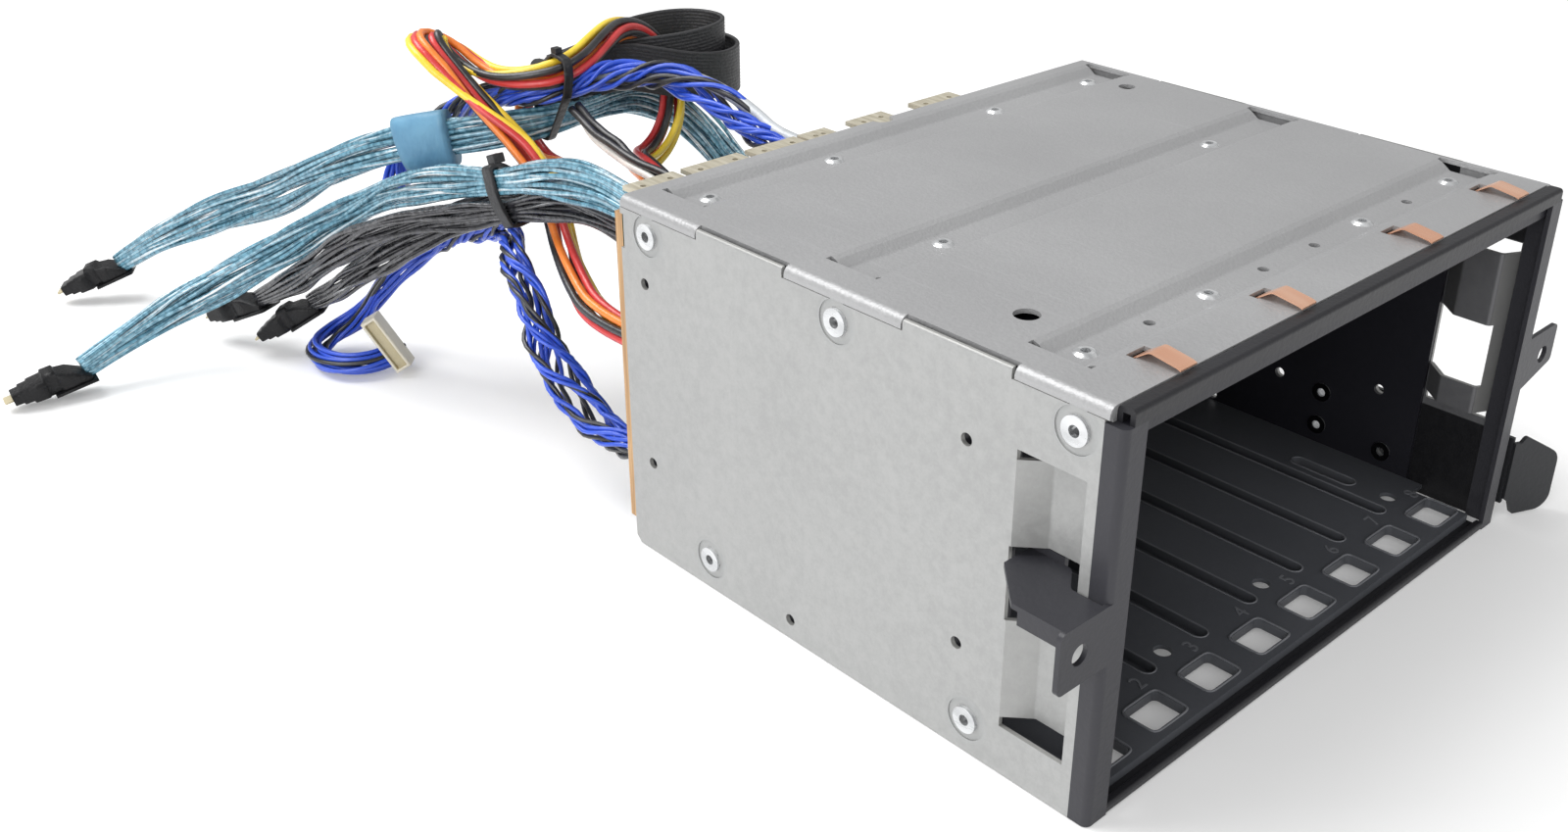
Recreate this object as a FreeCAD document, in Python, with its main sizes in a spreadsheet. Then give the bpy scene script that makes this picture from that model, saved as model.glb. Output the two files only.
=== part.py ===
import FreeCAD, Part
import math
import os
import Sketcher
from types import SimpleNamespace
from FreeCAD import Placement, Rotation, Vector

# Hot swap drive cage for eight slim 2.5 inch carriers, with its backplane and cable loom.
# Frame: +X to the right seen from the open front, -Y towards the front, +Z up.
# The origin is in the middle of the cage's plan, on the surface that it stands on.

doc = FreeCAD.newDocument("drive_cage")
sheet = doc.addObject("Spreadsheet::Sheet", "sizes")

SIZES = {
    # overall cage
    "cage_width": 148.0,
    "cage_depth": 126.5,
    "cage_height": 81.0,
    "skin_gauge": 0.9,          # galvanised outer sheets
    "frame_gauge": 1.0,         # painted inner sheets and front frame
    "sheet_gap": 0.1,           # clearance between sheets that slide together
    # bays
    "bay_count": 8,
    "bay_pitch": 17.35,
    "bay_shift": 2.2,           # the bays stand this far right of the cage's middle
    # top cover
    "cover_lip": 2.25,          # how far the rounded edge comes down
    "cover_flange": 9.0,
    "bend_round": 1.7,
    "trough_depth": 1.9,
    "trough_width": 12.0,
    "trough_shoulder": 0.6,     # half width of the flattened bend at its upper edges
    "trough_floor": 6.4,
    "trough_first": 20.4,       # centre of the front trough behind the front face
    "trough_step": 48.2,
    "trough_left": 9.8,         # cage side to the trough's open left end
    "trough_right": 4.2,
    "trough_gap": 1.4,          # opening left beyond each end of a trough
    "trough_round": 1.2,
    "clinch_radius": 2.2,
    "clinch_bore": 1.3,
    "clinch_rise": 0.5,
    "clinch_slope": 0.6,
    "clinch_wall": 0.35,
    "pinhole_radius": 1.1,
    "access_hole_x": 16.7,      # round hole near the front left corner
    "access_hole_y": 34.2,
    "access_hole_radius": 2.45,
    "vent_hole_x": 11.7,        # round hole near the rear right corner
    "vent_hole_y": 22.0,
    "vent_hole_radius": 2.0,
    "edge_notch_radius": 2.6,
    "cover_front": 3.4,         # front face to the cover's edge
    # side plates
    "post_side": 4.2,           # post as seen from the side
    "post_front": 5.5,          # post as seen from the front
    "post_tongue": 1.6,
    "post_round": 1.4,
    "recess_front": 6.4,
    "recess_length": 14.4,
    "recess_depth": 4.3,
    "recess_slope": 4.8,
    "recess_nose": 2.2,
    "recess_slit": 2.0,         # opening above and below the recessed strip
    "recess_turn": 0.4,         # the strip's inner face is this much longer at each end
    "recess_round": 1.0,
    "recess_drop": 14.3,        # from the cover's top face
    "left_recess_base": 10.3,
    "right_recess_base": 24.5,
    "window_drop": 7.3,         # the side window starts this far below the ears' holes
    "window_height": 15.0,
    "window_front": 7.6,
    "window_length": 13.6,
    "screw_hole_radius": 1.25,
    "screw_row_front": 31.8,
    "screw_row_pitch": 87.5,
    "screw_row_base": 22.5,
    "screw_row_rise": 41.5,
    "lock_tab_length": 24.4,
    "lock_tab_first": 23.0,
    "lock_tab_pitch": 55.0,
    "tab_clearance": 0.5,
    "tab_drop": 0.3,            # lock tabs end this far below the cover's surface
    "tab_round": 0.6,
    "rivet_radius": 2.7,
    "rivet_bore": 1.1,
    "rivet_proud": 0.5,
    "rivet_dimple": 4.3,
    "dimple_depth": 0.25,
    "rivet_shank": 1.6,
    "rivet_tail": 2.3,
    "tail_height": 0.5,
    "rivet_gap": 0.05,
    "upper_rivet_drop": 6.3,
    "upper_rivet_first": 9.5,
    "upper_rivet_pitch": 54.2,
    "lower_rivet_height": 7.2,
    "lower_rivet_first": 28.6,
    "lower_rivet_pitch": 72.1,
    "sight_hole_front": 58.0,   # one more hole through the right wall
    "sight_hole_height": 17.3,
    "low_hole_front": 76.0,
    "low_hole_height": 4.5,
    "rear_corner": 1.5,         # bevel of the side plates' lower rear corner
    "rear_notch_height": 7.3,
    "rear_notch_drop": 3.7,
    "rear_notch_depth": 1.0,
    "wall_base": 0.5,
    "wall_drop": 9.5,
    # floor and ceiling
    "groove_depth": 2.0,
    "groove_width": 3.4,
    "groove_start": 18.6,
    "groove_end": 118.0,
    "floor_front": 3.4,
    "window_slot_width": 10.0,
    "window_slot_depth": 7.5,
    "window_slot_front": 5.6,
    "window_slot_shift": 0.9,
    "window_collar": 1.0,
    "window_round": 1.2,
    "collar_depth": 1.1,
    "floor_hole_radius": 1.9,
    "floor_hole_front": 19.7,
    "floor_hole_shift": 1.8,
    "floor_slot_x": 60.5,       # oblong slot near the right wall
    "floor_slot_front": 28.3,
    "floor_slot_length": 16.3,
    "floor_slot_radius": 1.7,
    "floor_step_x": 4.4,        # cut at the floor's front right corner
    "floor_step_y": 17.0,
    "guide_height": 1.2,
    "guide_width": 2.4,
    "ceiling_lip": 1.8,
    "ceiling_front": 1.2,
    # front rails
    "rail_depth": 3.4,
    "rail_end": 2.0,
    "rail_round": 0.8,
    "hem_height": 1.9,
    "hem_depth": 1.9,
    "hem_round": 0.6,
    "hem_web": 4.6,
    # mounting ears
    "ear_reach": 11.8,
    "ear_low": 6.1,             # the ear reaches this far below and above its hole
    "ear_high": 6.1,
    "ear_hole_radius": 2.0,
    "ear_hole_reach": 6.6,
    "ear_hole_height": 40.3,
    "ear_round": 1.4,
    "ear_taper": 3.2,
    "arm_length": 20.0,
    "arm_reach": 10.6,
    "arm_corner_x": 8.1,        # bevel of the arm's rear outer corner
    "arm_corner_y": 8.6,
    "arm_neck": 7.4,
    "arm_shoulder": 11.0,
    "arm_inset": 4.3,           # how far the arm reaches in through the window
    "arm_gap": 0.5,
    "arm_lip": 2.6,
    "arm_lip_length": 10.0,
    "arm_curb": 1.4,
    "arm_round": 1.6,
    # spring fingers
    "finger_width": 4.4,
    "finger_gauge": 0.3,
    "finger_outer_reach": 57.2,
    "finger_inner_reach": 22.2,
    "finger_root": 12.1,
    "finger_tip": 2.7,
    "finger_rise": 2.0,
    "finger_crest": 8.9,
    "finger_lift": 0.6,         # tip above the cover
    "finger_lip": 0.8,
    "finger_lip_rise": 0.3,
    "finger_sink": 0.45,        # root below the cover's surface
    "finger_round": 1.6,
    "clip_front": 6.0,
    "slot_length": 1.9,
    "slot_side": 0.3,
    "slot_lead": 0.8,           # the slot starts this far before the finger's root
    # release latch on the right side
    "latch_gauge": 1.0,
    "latch_gap": 2.5,
    "latch_base": 3.6,
    "latch_height": 16.8,
    "latch_front": 0.3,
    "latch_pivot": 34.0,        # bend line behind the front face
    "latch_foot": 16.0,
    "latch_neck": 2.5,          # foot: straight, then a slope in to the side plate
    "latch_slope": 4.5,
    "latch_rivet_back": 12.0,
    "latch_rivet_side": 4.0,
    "latch_joint_gap": 0.12,
    "paddle_length": 12.6,
    "paddle_angle": 24.0,
    "paddle_height": 20.3,
    "paddle_base": 0.4,
    "paddle_relief": 1.2,
    "paddle_slope": 6.0,
    "paddle_round": 4.0,
    "relief_round": 1.0,
    "foot_turn": 0.5,
    "hook_width": 8.0,
    "hook_height": 2.6,
    "hook_run": 6.0,
    "hook_back": 18.0,
    # backplane
    "carrier_gauge": 1.0,
    "carrier_base": 0.5,
    "carrier_slot_clearance": 0.3,
    "screw_inset": 4.2,         # board screws from the board's side edges
    "screw_low": 3.6,           # lower pair above the board's lower edge
    "screw_pitch": 45.1,
    "screw_radius": 1.5,
    "screw_head_radius": 2.8,
    "screw_head_height": 1.6,
    "screw_head_taper": 0.7,
    "board_gauge": 2.4,
    "board_base": 5.5,
    "board_drop": 4.0,
    "board_margin": 0.5,
    "tab_reach": 6.1,
    "tab_hole_radius": 0.65,
    "tab_hole_side": 3.0,
    "tab_1_middle": -62.1,
    "tab_1_width": 13.0,
    "tab_2_middle": -45.75,
    "tab_2_width": 15.5,
    "tab_3_middle": -28.6,
    "tab_3_width": 14.2,
    "tab_4_middle": -16.3,
    "tab_4_width": 8.3,
    "tab_5_middle": 0.25,
    "tab_5_width": 11.5,
    "tab_6_middle": 22,
    "tab_6_width": 14.0,
    "plug_body_width": 6.0,
    "plug_body_height": 46.0,
    "plug_body_depth": 10.0,
    "plug_body_base": 12.0,
    "mouth_depth": 6.0,
    "mouth_wall": 1.1,
    "tongue_gauge": 1.3,
    "tongue_sink": 0.8,
    "key_bevel": 1.6,
    "header_depth": 9.1,
    "header_margin": 1.2,       # the headers stand this far round their cords
    # cable loom
    "blue_cord": 8.0,           # bundle diameters
    "slim_cord": 6.5,
    "power_cord": 5.5,
    "branch_cord": 5.0,
    "return_cord": 4.5,
    "low_harness": 6.5,
    "top_harness": 7.5,
    "ribbon_width": 12.0,
    "ribbon_gauge": 1.2,
    "data_plug_length": 22.0,
    "data_plug_width": 13.0,
    "data_plug_height": 6.8,
    "data_plug_nose": 5.0,
    "data_plug_nose_height": 4.4,
    "data_plug_wall": 0.9,
    "data_plug_mouth": 4.0,
    "data_plug_skirt": 14.0,
    "data_plug_skirt_step": 0.8,
    "data_plug_shear_reach": 4.0,
    "data_plug_shear_height": 3.2,
    "data_plug_bump_start": 7.0,
    "data_plug_bump_end": 10.8,
    "data_plug_bump_rise": 1.0,
    "data_plug_round": 0.5,
    "data_plug_grip": 1.0,      # how far the cord reaches into the plug
    "card_gauge": 1.0,          # contact card in the nose
    "card_margin": 0.9,
    "card_reach": 2.4,
    "signal_plug_length": 22.0,
    "signal_plug_height": 5.4,
    "signal_plug_depth": 8.0,
    "signal_plug_wall": 1.1,
    "signal_plug_mouth": 5.0,
    "signal_plug_bevel": 0.8,
    "signal_plug_offset": 3.5,  # the harness enters this far from the plug's end
    "tie_width": 3.5,
    "tie_gauge": 0.9,
    "tie_head": 4.2,
    "tie_1_span": 2.0,
    "tie_1_radius": 8.2,
    "tie_2_span": 16.6,
    "tie_2_radius": 4.2,
    "wrap_length": 5.0,
    "wrap_margin": 0.1,
}


class Size:
    """A length that keeps both its number and the sheet formula that it comes from."""

    def __init__(self, value, text):
        self.value = float(value)
        self.text = text

    def __add__(self, other):
        other = size(other)
        return Size(self.value + other.value, f"({self.text} + {other.text})")

    def __sub__(self, other):
        other = size(other)
        return Size(self.value - other.value, f"({self.text} - {other.text})")

    def __mul__(self, other):
        other = size(other)
        return Size(self.value * other.value, f"({self.text} * {other.text})")

    def __truediv__(self, other):
        other = size(other)
        return Size(self.value / other.value, f"({self.text} / {other.text})")

    def __neg__(self):
        return Size(-self.value, f"(0 - {self.text})")

    def __radd__(self, other):
        return size(other) + self

    def __rsub__(self, other):
        return size(other) - self

    def __rmul__(self, other):
        return size(other) * self


def size(number):
    """A plain number as a Size."""
    return number if isinstance(number, Size) else Size(number, f"({float(number):.6f})")


def named(name):
    """The Size held under one name of the sheet."""
    return Size(SIZES[name], f"sizes.{name}")


for row, (name, number) in enumerate(SIZES.items(), start=1):
    sheet.set(f"A{row}", name)
    sheet.set(f"B{row}", str(number))
    sheet.setAlias(f"B{row}", name)
doc.recompute()
S = SimpleNamespace(**{name: named(name) for name in SIZES})

FRONT = -S.cage_depth / 2
REAR = S.cage_depth / 2
SIDE = S.cage_width / 2
TOP = S.cage_height
BAYS = int(S.bay_count.value)


def bay_centre(bay):
    """Middle of a bay, counted from 1 at the left."""
    return S.bay_shift + S.bay_pitch * (bay - (BAYS + 1) / 2)


# ---- drawing helpers -------------------------------------------------------------------

def new_body(name):
    body = doc.addObject("PartDesign::Body", name)
    body.Label = name
    return body


def new_sketch(body, role, offset=0):
    """A sketch on one of the body's own origin planes, moved along the plane's normal."""
    offset = size(offset)
    plane = next(item for item in body.Origin.OriginFeatures if item.Role == role)
    sketch = body.newObject("Sketcher::SketchObject", f"{body.Name}_sketch")
    sketch.AttachmentSupport = (plane, [""])
    sketch.MapMode = "FlatFace"
    sketch.AttachmentOffset = Placement(Vector(0, 0, offset.value), Rotation())
    sketch.setExpression(".AttachmentOffset.Base.z", offset.text)
    return sketch


def hold(sketch, goals):
    """Adds dimensions to a sketch and binds each to the sheet."""
    first = sketch.ConstraintCount
    sketch.addConstraint([Sketcher.Constraint(*kind, goal.value) for kind, goal in goals])
    for index, (kind, goal) in enumerate(goals, start=first):
        sketch.setExpression(f"Constraints[{index}]", goal.text)


def place_point(geometry, point, x, y):
    """The two dimensions that place one point of a sketch from its origin."""
    return [(("DistanceX", -1, 1, geometry, point), size(x)),
            (("DistanceY", -1, 1, geometry, point), size(y))]


def draw_outline(sketch, points):
    """A closed outline of straight edges."""
    first = sketch.GeometryCount
    corners = [Vector(size(x).value, size(y).value, 0) for x, y in points]
    ring = corners[1:] + corners[:1]
    sketch.addGeometry([Part.LineSegment(a, b) for a, b in zip(corners, ring)], False)
    count = len(points)
    sketch.addConstraint([
        Sketcher.Constraint("Coincident", first + k, 2, first + (k + 1) % count, 1)
        for k in range(count)])
    goals = []
    for k, (x, y) in enumerate(points):
        goals += place_point(first + k, 1, x, y)
    hold(sketch, goals)


def draw_box(sketch, x_low, x_high, y_low, y_high):
    """A rectangle from its four sides."""
    draw_outline(sketch, [(x_low, y_low), (x_high, y_low), (x_high, y_high), (x_low, y_high)])


def draw_circle(sketch, x, y, radius):
    index = sketch.GeometryCount
    radius = size(radius)
    centre = Vector(size(x).value, size(y).value, 0)
    sketch.addGeometry(Part.Circle(centre, Vector(0, 0, 1), radius.value), False)
    hold(sketch, place_point(index, 3, x, y) + [(("Radius", index), radius)])


def draw_slot(sketch, x, y_low, y_high, radius):
    """A slot along the sketch's y axis, with round ends centred on y_low and y_high."""
    radius = size(radius)
    low = Vector(size(x).value, size(y_low).value, 0)
    high = Vector(size(x).value, size(y_high).value, 0)
    across = Vector(radius.value, 0, 0)
    up = Vector(0, 0, 1)
    first = sketch.GeometryCount
    sketch.addGeometry([
        Part.ArcOfCircle(Part.Circle(high, up, radius.value), 0, math.pi),
        Part.LineSegment(high - across, low - across),
        Part.ArcOfCircle(Part.Circle(low, up, radius.value), math.pi, 2 * math.pi),
        Part.LineSegment(low + across, high + across)], False)
    sketch.addConstraint([
        Sketcher.Constraint("Tangent", first + k, 2, first + (k + 1) % 4, 1) for k in range(4)])
    hold(sketch, place_point(first, 3, x, y_high)
         + [(("DistanceY", -1, 1, first + 2, 3), size(y_low)), (("Radius", first), radius)])


def pad(body, sketch, length):
    """Adds material along the sketch's normal."""
    length = size(length)
    feature = body.newObject("PartDesign::Pad", f"{body.Name}_pad")
    feature.Profile = sketch
    feature.Length = length.value
    feature.setExpression("Length", length.text)
    sketch.Visibility = False
    return feature


def pocket(body, sketch, length):
    """Cuts against the sketch's normal, and makes sure that something was cut."""
    length = size(length)
    doc.recompute()
    before = body.Shape.Volume
    feature = body.newObject("PartDesign::Pocket", f"{body.Name}_pocket")
    feature.Profile = sketch
    feature.Length = length.value
    feature.setExpression("Length", length.text)
    doc.recompute()
    if body.Shape.Volume > before - 1e-6:
        raise RuntimeError(f"{feature.Name} cuts nothing")
    return feature


def round_edges(body, radius, chosen):
    """Rounds the edges of the body's last feature that chosen(edge) picks."""
    radius = size(radius)
    doc.recompute()
    tip = body.Tip
    names = [f"Edge{k}" for k, edge in enumerate(tip.Shape.Edges, start=1) if chosen(edge)]
    feature = body.newObject("PartDesign::Fillet", f"{body.Name}_round")
    feature.Base = (tip, names)
    feature.Radius = radius.value
    feature.setExpression("Radius", radius.text)
    return feature


def runs_along(edge, axis):
    """True where a straight edge runs along X, Y or Z, given as 0, 1 or 2."""
    if edge.Curve.TypeId != "Part::GeomLine":
        return False
    return abs(abs(edge.Curve.Direction[axis]) - 1) < 1e-6


def passes(edge, *places):
    """True where the middle of an edge has one of the places, each a list of (axis, Size)."""
    middle = edge.BoundBox.Center
    return any(all(abs(middle[axis] - size(goal).value) < 0.02 for axis, goal in place)
               for place in places)


def bind(item, **goals):
    """Binds properties of a primitive to the sheet."""
    for path, goal in goals.items():
        item.setExpression(path.replace("_at_", "Placement.Base."), size(goal).text)


def make_box(name, x, y, z, length, width, height):
    box = doc.addObject("Part::Box", name)
    bind(box, Length=length, Width=width, Height=height, _at_x=x, _at_y=y, _at_z=z)
    return box


def make_cylinder(name, axis, x, y, z, radius, height):
    """A cylinder that starts at x, y, z and runs along +X, -Y, +Y or +Z."""
    turns = {"+X": Rotation(Vector(0, 1, 0), 90), "-Y": Rotation(Vector(1, 0, 0), 90),
             "+Y": Rotation(Vector(1, 0, 0), -90), "+Z": Rotation()}
    rod = doc.addObject("Part::Cylinder", name)
    rod.Placement = Placement(Vector(), turns[axis])
    bind(rod, Radius=radius, Height=height, _at_x=x, _at_y=y, _at_z=z)
    return rod


def cut(name, base, tool):
    result = doc.addObject("Part::Cut", name)
    result.Base = base
    result.Tool = tool
    return result


def fuse(name, *pieces):
    result = doc.addObject("Part::MultiFuse", name)
    result.Shapes = list(pieces)
    return result


def group(name, pieces):
    """Several separate solids that share one node."""
    result = doc.addObject("Part::Compound", name)
    result.Links = list(pieces)
    result.Label = name
    return result


# ---- planes that several pieces share ----------------------------------------------------

SKIN = S.skin_gauge
GAUGE = S.frame_gauge
PLATE_IN = SIDE - SKIN                      # inner face of the side plates
WALL_IN = PLATE_IN - GAUGE                  # inner face of the inner walls
DECK = WALL_IN - S.sheet_gap                # half width of the floor and the ceiling
PLATE_TOP = TOP - S.cover_lip - S.sheet_gap
RECESS_TOP = TOP - S.recess_drop
EAR_BASE = S.ear_hole_height - S.ear_low
EAR_TOP = S.ear_hole_height + S.ear_high
WINDOW_BASE = S.ear_hole_height - S.window_drop
BOARD_TOP = TOP - S.board_drop
CEILING_TOP = TOP - S.trough_depth - SKIN   # the cover's troughs rest on the ceiling here
CEILING = CEILING_TOP - GAUGE
FLOOR = S.groove_depth + GAUGE              # the cage stands on the undersides of the grooves
POST_BACK = FRONT + S.post_side
WALL_FRONT = FRONT + S.recess_front + S.recess_length
CARRIER = REAR - S.carrier_gauge            # front face of the backplane's carrier sheet
TROUGHS = [FRONT + S.trough_first + S.trough_step * k for k in range(3)]
FINGERS = [S.bay_shift + side * reach
           for side, reach in ((-1, S.finger_outer_reach), (-1, S.finger_inner_reach),
                               (1, S.finger_inner_reach), (1, S.finger_outer_reach))]
LOCK_TABS = [FRONT + S.lock_tab_first + S.lock_tab_pitch * k for k in range(2)]


# ---- top cover: one sheet with rolled edges, side flanges and three pressed troughs --------

def make_top_cover():
    body = new_body("top_cover")
    lip = SIDE - S.sheet_gap
    flange = PLATE_IN - S.sheet_gap
    under = TOP - SKIN
    foot = TOP - S.cover_flange
    half = [(lip, TOP), (lip, TOP - S.cover_lip), (flange, TOP - S.cover_lip), (flange, foot),
            (flange - SKIN, foot), (flange - SKIN, under)]
    mirror = [(-x, z) for x, z in reversed(half)]
    profile = new_sketch(body, "XZ_Plane", -REAR)
    draw_outline(profile, half + mirror)
    pad(body, profile, S.cage_depth - S.cover_front)
    round_edges(body, S.bend_round, lambda edge: runs_along(edge, 1) and passes(
        edge, [(0, lip), (2, TOP)], [(0, -lip), (2, TOP)]))

    openings = new_sketch(body, "XY_Plane", TOP)
    trough_half = S.trough_width / 2 + S.trough_shoulder
    for middle in TROUGHS:
        draw_box(openings, -SIDE + S.trough_left - S.trough_gap,
                 SIDE - S.trough_right + S.trough_gap,
                 middle - trough_half, middle + trough_half)
    for middle in FINGERS:
        reach = S.finger_width / 2 + S.slot_side
        slot = FRONT + S.finger_root - S.slot_lead
        draw_box(openings, middle - reach, middle + reach, slot, slot + S.slot_length)
    draw_circle(openings, -SIDE + S.access_hole_x, FRONT + S.access_hole_y, S.access_hole_radius)
    draw_circle(openings, SIDE - S.vent_hole_x, REAR - S.vent_hole_y, S.vent_hole_radius)
    draw_circle(openings, 0, REAR, S.edge_notch_radius)
    pocket(body, openings, SKIN)

    notches = new_sketch(body, "XY_Plane", TOP)
    for side in (-1, 1):
        for tab in LOCK_TABS:
            inner, outer = sorted((side * (flange - SKIN), side * SIDE), key=lambda x: x.value)
            draw_box(notches, inner, outer, tab - S.tab_clearance,
                     tab + S.lock_tab_length + S.tab_clearance)
    pocket(body, notches, S.cover_lip + SKIN)

    flange_cuts = new_sketch(body, "YZ_Plane", flange)
    draw_box(flange_cuts, FRONT + S.cover_front, POST_BACK + S.post_tongue + S.sheet_gap,
             foot, CEILING_TOP)
    for y, z in rivet_places()[0]:
        draw_circle(flange_cuts, y, z, S.rivet_shank + S.rivet_gap)
    pocket(body, flange_cuts, flange * 2)

    troughs = new_sketch(body, "YZ_Plane", -SIDE + S.trough_left)
    steepness = S.trough_depth / (S.trough_width / 2 - S.trough_floor / 2)
    for middle in TROUGHS:
        top = [(trough_half, TOP),
               (S.trough_width / 2 - S.trough_shoulder, TOP - S.trough_shoulder * steepness),
               (S.trough_floor / 2, TOP - S.trough_depth)]
        section = top + [(-y, z) for y, z in reversed(top)]
        section += [(y, z - SKIN) for y, z in reversed(section)]
        draw_outline(troughs, [(middle + y, z) for y, z in section])
    pad(body, troughs, S.cage_width - S.trough_left - S.trough_right)
    bends = [[(1, middle + side * S.trough_floor / 2), (2, TOP - S.trough_depth)]
             for middle in TROUGHS for side in (-1, 1)]
    round_edges(body, S.trough_round,
                lambda edge: runs_along(edge, 0) and passes(edge, *bends))

    clinch_holes = new_sketch(body, "XY_Plane", TOP - S.trough_depth)
    for x, y in clinch_places():
        draw_circle(clinch_holes, x, y, S.clinch_bore)
    for bay, y in PINHOLES:
        draw_circle(clinch_holes, bay_centre(bay), y, S.pinhole_radius)
    pocket(body, clinch_holes, SKIN)


def clinch_places():
    """The front and rear troughs are clinched over bays 1, 3, 6 and 8, the middle one over 2, 7."""
    rows = [(TROUGHS[0], (1, 3, 6, 8)), (TROUGHS[1], (2, 7)), (TROUGHS[2], (1, 3, 6, 8))]
    return [(bay_centre(bay), y) for y, bays in rows for bay in bays]


PINHOLES = [(bay, TROUGHS[0]) for bay in (2, 4, 5, 7)]


def rivet_places():
    """The rivets' places in (y, z) on each side: the upper row, then the lower row."""
    upper = [(FRONT + S.upper_rivet_first + S.upper_rivet_pitch * k, TOP - S.upper_rivet_drop)
             for k in range(3)]
    lower = [(FRONT + S.lower_rivet_first + S.lower_rivet_pitch * k, S.lower_rivet_height)
             for k in range(2)]
    return upper, lower


make_top_cover()


# ---- side plates: sheets with a recessed strip, a window through it and two lock tabs ------

def x_plane(side, inner, length):
    """Where a sketch stands for a pad of the given length that starts at the inner x."""
    return inner if side > 0 else -inner - length


def screw_places():
    return [(FRONT + S.screw_row_front + S.screw_row_pitch * k,
             S.screw_row_base + S.screw_row_rise * level)
            for k in range(2) for level in range(2)]


def make_side_plate(name, side, recess_base):
    body = new_body(name)
    tab_top = TOP - S.tab_drop
    notch_high = TOP - S.rear_notch_drop
    notch_low = notch_high - S.rear_notch_height
    outline = [(POST_BACK, 0), (REAR - S.rear_corner, 0), (REAR, S.rear_corner),
               (REAR, notch_low), (REAR - S.rear_notch_depth, notch_low),
               (REAR - S.rear_notch_depth, notch_high), (REAR, notch_high),
               (REAR, PLATE_TOP)]
    for tab in reversed(LOCK_TABS):
        outline += [(tab + S.lock_tab_length, PLATE_TOP), (tab + S.lock_tab_length, tab_top),
                    (tab, tab_top), (tab, PLATE_TOP)]
    outline.append((POST_BACK, PLATE_TOP))
    sheet_face = new_sketch(body, "YZ_Plane", x_plane(side, PLATE_IN, SKIN))
    draw_outline(sheet_face, outline)
    pad(body, sheet_face, SKIN)
    round_edges(body, S.tab_round, lambda edge: runs_along(edge, 1) and passes(
        edge, *[[(0, side * SIDE), (1, tab + S.lock_tab_length / 2), (2, tab_top)]
                for tab in LOCK_TABS]))

    holes = new_sketch(body, "YZ_Plane", x_plane(side, PLATE_IN, SKIN) + SKIN)
    recess_back = FRONT + S.recess_front + S.recess_length
    draw_box(holes, FRONT + S.recess_front, recess_back, recess_base, RECESS_TOP)
    for y, z in screw_places():
        draw_circle(holes, y, z, S.screw_hole_radius)
    draw_circle(holes, FRONT + S.low_hole_front, S.low_hole_height, S.screw_hole_radius)
    upper, lower = rivet_places()
    for y, z in upper + lower:
        draw_circle(holes, y, z, S.rivet_shank + S.rivet_gap)
    if side > 0:
        for height in latch_rivets():
            draw_circle(holes, LATCH_PIVOT + S.latch_rivet_back, height,
                        S.rivet_shank + S.rivet_gap)
        draw_circle(holes, FRONT + S.sight_hole_front, S.sight_hole_height, S.screw_hole_radius)
    pocket(body, holes, SKIN)

    dimples = new_sketch(body, "YZ_Plane", side * SIDE if side > 0 else -SIDE + S.dimple_depth)
    for y, z in upper + lower:
        draw_circle(dimples, y, z, S.rivet_dimple)
    pocket(body, dimples, S.dimple_depth)

    strip = new_sketch(body, "XY_Plane", recess_base + S.recess_slit)
    face = [(SIDE, recess_back), (SIDE - S.recess_depth, recess_back - S.recess_slope),
            (SIDE - S.recess_depth, FRONT + S.recess_front + S.recess_nose),
            (SIDE, FRONT + S.recess_front)]
    back = [(PLATE_IN, recess_back + S.recess_turn),
            (face[1][0] - SKIN, face[1][1] + S.recess_turn),
            (face[2][0] - SKIN, face[2][1] - S.recess_turn),
            (PLATE_IN, FRONT + S.recess_front - S.recess_turn)]
    draw_outline(strip, [(side * x, y) for x, y in face + back[::-1]])
    pad(body, strip, RECESS_TOP - recess_base - S.recess_slit * 2)
    bends = [[(0, side * x), (1, y)] for x, y in face[1:3] + back[1:3]]
    round_edges(body, S.recess_round,
                lambda edge: runs_along(edge, 2) and passes(edge, *bends))

    reach = S.recess_depth + SKIN * 2
    window = new_sketch(body, "YZ_Plane", SIDE if side > 0 else reach - SIDE)
    low = FRONT + S.window_front
    draw_box(window, low, low + S.window_length, WINDOW_BASE, WINDOW_BASE + S.window_height)
    pocket(body, window, reach)


LATCH_PIVOT = FRONT + S.latch_pivot


def latch_rivets():
    """Heights of the two rivets in the latch's foot."""
    return [S.latch_base + S.latch_rivet_side,
            S.latch_base + S.latch_height - S.latch_rivet_side]


make_side_plate("left_side_plate", -1, S.left_recess_base)
make_side_plate("right_side_plate", 1, S.right_recess_base)


# ---- inner walls: painted sheets riveted against the side plates ---------------------------

def make_inner_wall(name, side):
    body = new_body(name)
    sheet_face = new_sketch(body, "YZ_Plane", x_plane(side, WALL_IN, GAUGE))
    front = WALL_FRONT + S.recess_turn + S.sheet_gap
    draw_box(sheet_face, front, CARRIER - S.sheet_gap, S.wall_base, TOP - S.wall_drop)
    pad(body, sheet_face, GAUGE)
    holes = new_sketch(body, "YZ_Plane", x_plane(side, WALL_IN, GAUGE) + GAUGE)
    for y, z in screw_places():
        draw_circle(holes, y, z, S.screw_hole_radius)
    draw_circle(holes, FRONT + S.low_hole_front, S.low_hole_height, S.screw_hole_radius)
    shanks = rivet_places()[1]
    if side > 0:
        draw_circle(holes, FRONT + S.sight_hole_front, S.sight_hole_height, S.screw_hole_radius)
        shanks += [(LATCH_PIVOT + S.latch_rivet_back, height) for height in latch_rivets()]
    for y, z in shanks:
        draw_circle(holes, y, z, S.rivet_shank + S.rivet_gap)
    pocket(body, holes, GAUGE)


make_inner_wall("left_inner_wall", -1)
make_inner_wall("right_inner_wall", 1)


# ---- front posts: bent strips that carry the mounting ears ---------------------------------

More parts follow.
